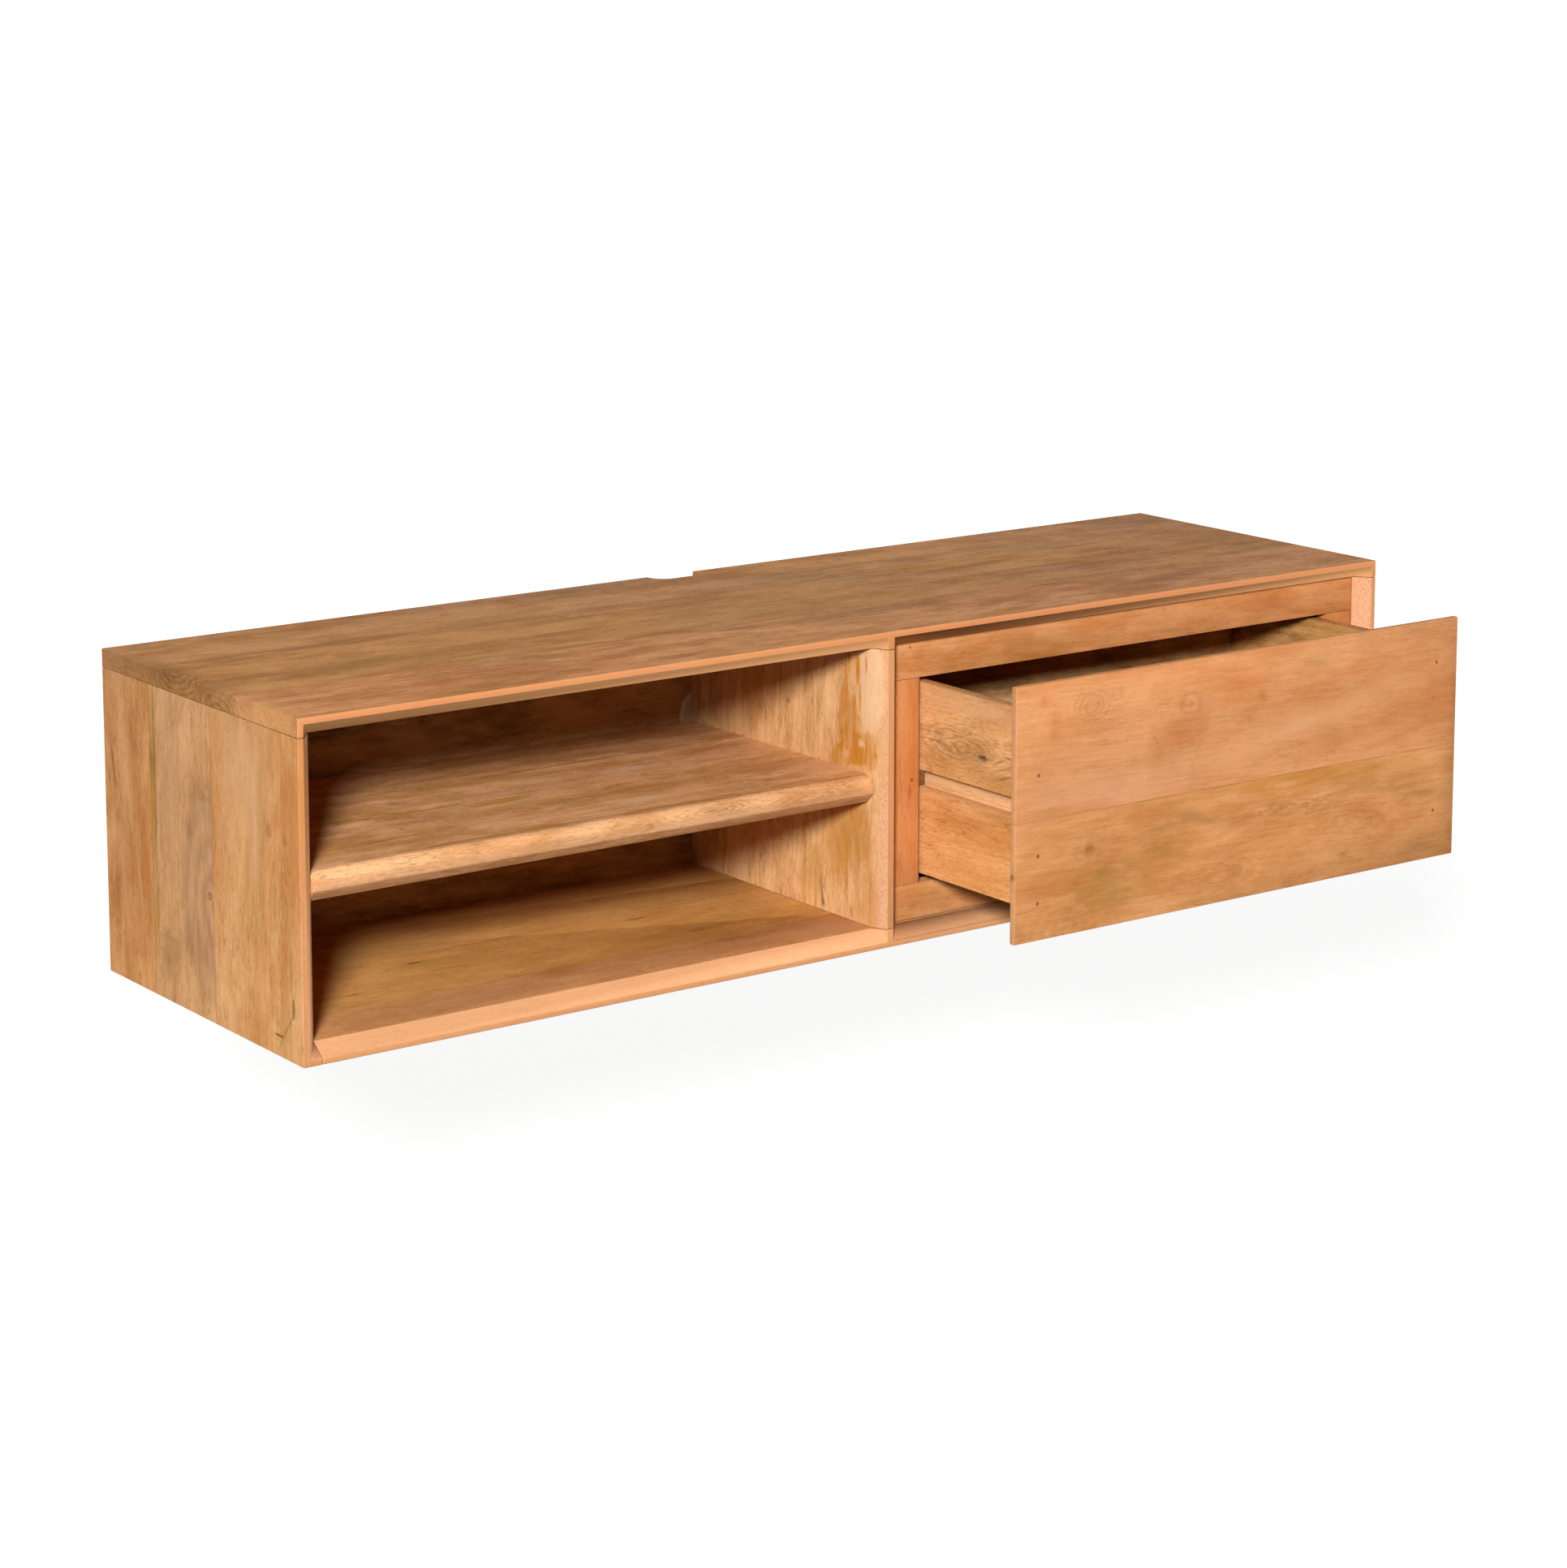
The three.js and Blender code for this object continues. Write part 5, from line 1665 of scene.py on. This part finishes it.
@dataclass
class Fasteners:
    """Screws and nails, set on points by geometry nodes.

    Each kind has the radius of its head, how deep the head is sunk, the radius of its shank and its
    length.

    Attributes:
        sides: Sides of a head.
        trees: The node trees made so far, by kind.
    """

    sides: int = 24
    plate_head: float = 3.4 * MM
    plate_sink: float = 1.8 * MM
    plate_shank: float = 1.6 * MM
    plate_length: float = 15 * MM
    runner_head: float = 4 * MM
    runner_sink: float = 2.4 * MM
    runner_shank: float = 2 * MM
    runner_length: float = 26 * MM
    nail_head: float = 1.4 * MM
    nail_sink: float = 1.5 * MM
    nail_shank: float = 1.1 * MM
    drawer_nail_length: float = 40 * MM
    stile_nail_length: float = 42 * MM
    trees: dict = field(default_factory=dict)

    def build(self, shop: Workshop) -> None:
        """Makes every screw and nail.

        Args:
            shop: The workshop.
        """
        zinc = Zinc().material("zinc_screws", shop.groups)
        filler = Filler().material("nail_filler")
        plate = (self.plate_head, self.plate_sink, self.plate_shank, self.plate_length)
        runner = (self.runner_head, self.runner_sink, self.runner_shank, self.runner_length)
        drawer = (self.nail_head, self.nail_sink, self.nail_shank, self.drawer_nail_length)
        stile = (self.nail_head, self.nail_sink, self.nail_shank, self.stile_nail_length)
        screw = (True, zinc, "cabinet", "screw_steel")
        for name, part, facing, sizes, make in (
            ("plate_screws", "_plate_screw_", Facing.REAR, plate, screw),
            ("left_runner_screws", "left_runner_screw_", Facing.RIGHT, runner, screw),
            ("right_runner_screws", "right_runner_screw_", Facing.LEFT, runner, screw),
            ("drawer_nails", "_drawer_nail_", Facing.FRONT, drawer, (False, filler, "drawer", "nail_steel")),
            ("stile_nails", "_stile_nail", Facing.FRONT, stile, (False, filler, "cabinet", "nail_steel")),
        ):
            self._row(shop, name, part, facing, sizes, *make)

    def _row(
        self,
        shop: Workshop,
        name: str,
        part: str,
        facing: Facing,
        sizes: tuple[float, float, float, float],
        recess: bool,
        material: bpy.types.Material,
        body: str,
        slot: str,
    ) -> None:
        """Makes all the fasteners of one kind as one piece.

        Args:
            shop: The workshop.
            name: The piece's name.
            part: What their solids' names have in common.
            facing: Which way the heads face.
            sizes: Head radius, head depth, shank radius and length.
            recess: Whether the head has a cross recess.
            material: Their material.
            body: The body they move with.
            slot: The record's material slot; not used.
        """
        solids = [node for node in shop.nodes if part in node]
        mesh = bpy.data.meshes.new(name)
        mesh.from_pydata([facing.head(node) for node in solids], [], [])
        piece = bpy.data.objects.new(name, mesh)
        bpy.context.scene.collection.objects.link(piece)
        kind = "screw" if recess else "nail"
        tree = self.trees.get(kind) or self.trees.setdefault(kind, fastener_tree(kind, recess, self.sides))
        setter = piece.modifiers.new("set fasteners", "NODES")
        setter.node_group = tree
        head, sink, shank, length = sizes
        values = {
            "Facing": facing.value[0],
            "Head Radius": head,
            "Head Depth": sink,
            "Shank Radius": shank,
            "Length": length,
            "Material": material,
        }
        for item in tree.interface.items_tree:
            if item.in_out == "INPUT" and item.name in values:
                setter[item.identifier] = values[item.name]
        bake_modifiers(piece)
        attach(piece, body)
        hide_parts(*solids)
        LOG.info("%s: %d of them", name, len(solids))


def bake_modifiers(piece: bpy.types.Object) -> None:
    """Turns a piece's evaluated shape into its plain mesh."""
    graph = bpy.context.evaluated_depsgraph_get()
    graph.update()
    plain = bpy.data.meshes.new_from_object(piece.evaluated_get(graph))
    plain.name = piece.name
    piece.modifiers.clear()
    piece.data = plain


def fastener_tree(kind: str, recess: bool, sides: int) -> bpy.types.NodeTree:
    """Builds the geometry nodes that set a fastener on each point.

    Args:
        kind: The tree's name.
        recess: Whether the head has a cross recess.
        sides: Sides of the head.

    Returns:
        The tree.
    """
    tree = bpy.data.node_groups.new(kind, "GeometryNodeTree")
    tree.interface.new_socket("Geometry", in_out="INPUT", socket_type="NodeSocketGeometry")
    for label in ("Head Radius", "Head Depth", "Shank Radius", "Length"):
        tree.interface.new_socket(label, in_out="INPUT", socket_type="NodeSocketFloat")
    tree.interface.new_socket("Facing", in_out="INPUT", socket_type="NodeSocketVector")
    tree.interface.new_socket("Material", in_out="INPUT", socket_type="NodeSocketMaterial")
    tree.interface.new_socket("Geometry", in_out="OUTPUT", socket_type="NodeSocketGeometry")
    sheet = NodeSheet(tree)
    have = {s.name: s for s in sheet.node("NodeGroupInput").outputs if s.name}
    leaving = sheet.node("NodeGroupOutput")

    def sunk(mesh: Socket, depth: Socket) -> Socket:
        """Moves a shape down by a depth."""
        shift = sheet.node("GeometryNodeTransform")
        sheet.feed(shift.inputs["Geometry"], mesh)
        move = sheet.node("ShaderNodeCombineXYZ")
        sheet.feed(move.inputs[2], sheet.math("MULTIPLY", depth, -1.0))
        sheet.feed(shift.inputs["Translation"], move.outputs[0])
        return shift.outputs[0]

    head = sheet.node("GeometryNodeMeshCone")
    sheet.feed(head.inputs["Vertices"], sides)
    sheet.feed(head.inputs["Radius Top"], have["Head Radius"])
    sheet.feed(head.inputs["Radius Bottom"], have["Shank Radius"] if recess else have["Head Radius"])
    sheet.feed(head.inputs["Depth"], have["Head Depth"])
    head_mesh = sunk(head.outputs["Mesh"], have["Head Depth"])
    if recess:
        cutter = sheet.node("GeometryNodeJoinGeometry")
        wide = sheet.math("MULTIPLY", have["Head Radius"], CROSS_REACH)
        narrow = sheet.math("MULTIPLY", have["Head Radius"], CROSS_WIDTH)
        for x, y in ((wide, narrow), (narrow, wide)):
            bar = sheet.node("GeometryNodeMeshCube")
            sheet.feed(bar.inputs["Size"], sheet.join(x, y, have["Head Depth"]))
            sheet.tree.links.new(bar.outputs["Mesh"], cutter.inputs[0])
        cross = sheet.node("GeometryNodeMeshBoolean", operation="DIFFERENCE", solver="EXACT")
        sheet.feed(cross.inputs[0], head_mesh)
        sheet.tree.links.new(cutter.outputs[0], cross.inputs[1])
        cross.inputs["Self Intersection"].default_value = True
        head_mesh = cross.outputs[0]
    shank = sheet.node("GeometryNodeMeshCone")
    sheet.feed(shank.inputs["Vertices"], sides // 2)
    sheet.feed(shank.inputs["Radius Top"], have["Shank Radius"])
    sheet.feed(shank.inputs["Radius Bottom"], sheet.math("MULTIPLY", have["Shank Radius"], POINT_TAPER))
    run = sheet.math("SUBTRACT", have["Length"], have["Head Depth"])
    sheet.feed(shank.inputs["Depth"], run)
    both = sheet.node("GeometryNodeJoinGeometry")
    sheet.tree.links.new(sunk(shank.outputs["Mesh"], have["Length"]), both.inputs[0])
    sheet.tree.links.new(head_mesh, both.inputs[0])

    turn = sheet.node("FunctionNodeAlignRotationToVector", axis="Z")
    sheet.feed(turn.inputs["Vector"], have["Facing"])
    copies = sheet.node("GeometryNodeInstanceOnPoints")
    points = sheet.node("GeometryNodeMeshToPoints")
    sheet.feed(points.inputs[0], have["Geometry"])
    sheet.feed(copies.inputs["Points"], points.outputs[0])
    sheet.feed(copies.inputs["Instance"], both.outputs[0])
    sheet.feed(copies.inputs["Rotation"], turn.outputs[0])
    real = sheet.node("GeometryNodeRealizeInstances")
    sheet.feed(real.inputs[0], copies.outputs[0])
    painted = sheet.node("GeometryNodeSetMaterial")
    sheet.feed(painted.inputs["Geometry"], real.outputs[0])
    sheet.feed(painted.inputs["Material"], have["Material"])
    sheet.feed(leaving.inputs[0], painted.outputs[0])
    return tree


@dataclass
class KeyholePlates:
    """The two steel plates that the cabinet hangs by."""

    ease: float = 0.3 * MM
    body: str = "cabinet"

    def build(self, shop: Workshop) -> None:
        """Makes both plates.

        Args:
            shop: The workshop.
        """
        zinc = Zinc().material("zinc_plates", shop.groups)
        for side in ("left", "right"):
            node = f"{side}_keyhole_plate"
            plate = shop.eased_copy(node, self.ease)
            plate.data.materials.append(zinc)
            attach(plate, self.body)
            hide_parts(node)
            LOG.info("plate %s", plate.name)


@dataclass
class Studio:
    """The camera, the lamps, the floor and the world."""

    camera_place: tuple[float, float, float] = (-2.490, -3.626, 1.153)
    yaw: float = math.radians(36.194)
    pitch: float = math.radians(8.935)
    lens: float = 88.42
    sensor: float = 36.0
    shift: float = -0.2
    key_place: tuple[float, float, float] = (-4.05, -4.80, 2.50)
    key_strength: float = 56.5
    key_radius: float = 0.5
    rear_direction: tuple[float, float, float] = (-0.45, -0.80, -0.35)
    rear_strength: float = 1.1
    rear_angle: float = math.radians(60)
    ambient: tuple[float, float, float] = (0.020, 0.022, 0.007)
    floor_tone: float = 0.2
    floor_roughness: float = 0.9
    floor_glow: float = 0.87
    shadow_reach: tuple[float, float] = (1.2, 4.0)
    floor_drop: float = 0.36
    floor_size: float = 60.0

    def build(self) -> None:
        """Sets up the whole studio."""
        self._camera()
        self._lamps()
        self._world()
        self._floor()
        bpy.context.scene.view_settings.view_transform = "Standard"

    def _camera(self) -> None:
        """Stands the camera where the photograph was taken."""
        data = bpy.data.cameras.new("camera")
        data.lens = self.lens
        data.sensor_width = self.sensor
        data.shift_y = self.shift
        camera = bpy.data.objects.new("camera", data)
        camera.location = self.camera_place
        camera.rotation_euler = (math.pi / 2 - self.pitch, 0.0, -self.yaw)
        bpy.context.scene.collection.objects.link(camera)
        bpy.context.scene.camera = camera

    def _lamps(self) -> None:
        """Adds the key light from the front left, and a soft fill from behind.

        The key stands near enough for its shadows to spread, but keeps its strength over the distance.
        """
        data = bpy.data.lights.new("key", "POINT")
        data.energy = self.key_strength
        data.shadow_soft_size = self.key_radius
        data.use_nodes = True
        sheet = NodeSheet(data.node_tree)
        falloff = sheet.node("ShaderNodeLightFalloff")
        sheet.feed(falloff.inputs["Strength"], 1.0)
        sheet.feed(data.node_tree.nodes["Emission"].inputs["Strength"], falloff.outputs["Constant"])
        key = bpy.data.objects.new("key", data)
        key.location = self.key_place
        bpy.context.scene.collection.objects.link(key)
        rear = self._sun("rear", self.rear_strength, self.rear_angle, Vector(self.rear_direction))
        rear.visible_glossy = False

    def _sun(self, name: str, strength: float, angle: float, towards: Vector) -> bpy.types.Object:
        """Adds one distant lamp.

        Args:
            name: Its name.
            strength: Its strength.
            angle: How wide it looks, which softens its shadows.
            towards: The way its light travels.

        Returns:
            The lamp.
        """
        data = bpy.data.lights.new(name, "SUN")
        data.energy = strength
        data.angle = angle
        lamp = bpy.data.objects.new(name, data)
        lamp.rotation_euler = towards.to_track_quat("-Z", "Y").to_euler()
        bpy.context.scene.collection.objects.link(lamp)
        return lamp

    def _world(self) -> None:
        """A plain dim surround that the camera sees as white."""
        world = bpy.data.worlds.new("surround")
        world.use_nodes = True
        sheet = NodeSheet(world.node_tree)
        glow = world.node_tree.nodes["Background"]
        sheet.feed(glow.inputs["Color"], sheet.mix(sheet.seen(), (*self.ambient, 1.0), WHITE))
        bpy.context.scene.world = world

    def _floor(self) -> None:
        """A pale floor below the hanging cabinet, which keeps a soft shadow."""
        half = self.floor_size / 2
        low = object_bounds()[0][2] - self.floor_drop
        mesh = bpy.data.meshes.new("floor")
        corners = [(x, y, low) for x, y in ((-half, -half), (half, -half), (half, half), (-half, half))]
        mesh.from_pydata(corners, [], [(0, 1, 2, 3)])
        floor = bpy.data.objects.new("floor", mesh)
        bpy.context.scene.collection.objects.link(floor)
        pale = bpy.data.materials.new("pale_floor")
        pale.use_nodes = True
        sheet = NodeSheet(pale.node_tree)
        shader = pale.node_tree.nodes["Principled BSDF"]
        shader.inputs["Base Color"].default_value = (self.floor_tone,) * 3 + (1.0,)
        shader.inputs["Roughness"].default_value = self.floor_roughness
        glow = sheet.node("ShaderNodeEmission")
        where = sheet.node("ShaderNodeTexCoord")
        distance = sheet.vector("LENGTH", sheet.vector("MULTIPLY", where.outputs["Object"], (1.0, 1.0, 0.0)))
        level = sheet.remap(distance, *self.shadow_reach, self.floor_glow, 1.0)
        sheet.feed(glow.inputs["Strength"], sheet.math("MULTIPLY", sheet.seen(), level))
        both = sheet.node("ShaderNodeAddShader")
        sheet.feed(both.inputs[0], shader.outputs[0])
        sheet.feed(both.inputs[1], glow.outputs[0])
        sheet.feed(pale.node_tree.nodes["Material Output"].inputs[0], both.outputs[0])
        mesh.materials.append(pale)
        floor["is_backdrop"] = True


def main() -> None:
    """Builds the console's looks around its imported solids."""
    logging.basicConfig(level=logging.INFO, format="%(name)s: %(message)s")
    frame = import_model()
    Studio().build()
    shop = Workshop(frame, Groups.build())
    for assembly in (Carcass(), FaceFrame(), Drawer(), HiddenWood(), KeyholePlates(), Fasteners()):
        assembly.build(shop)
    bpy.context.view_layer.update()


if __name__ == "__main__":
    main()
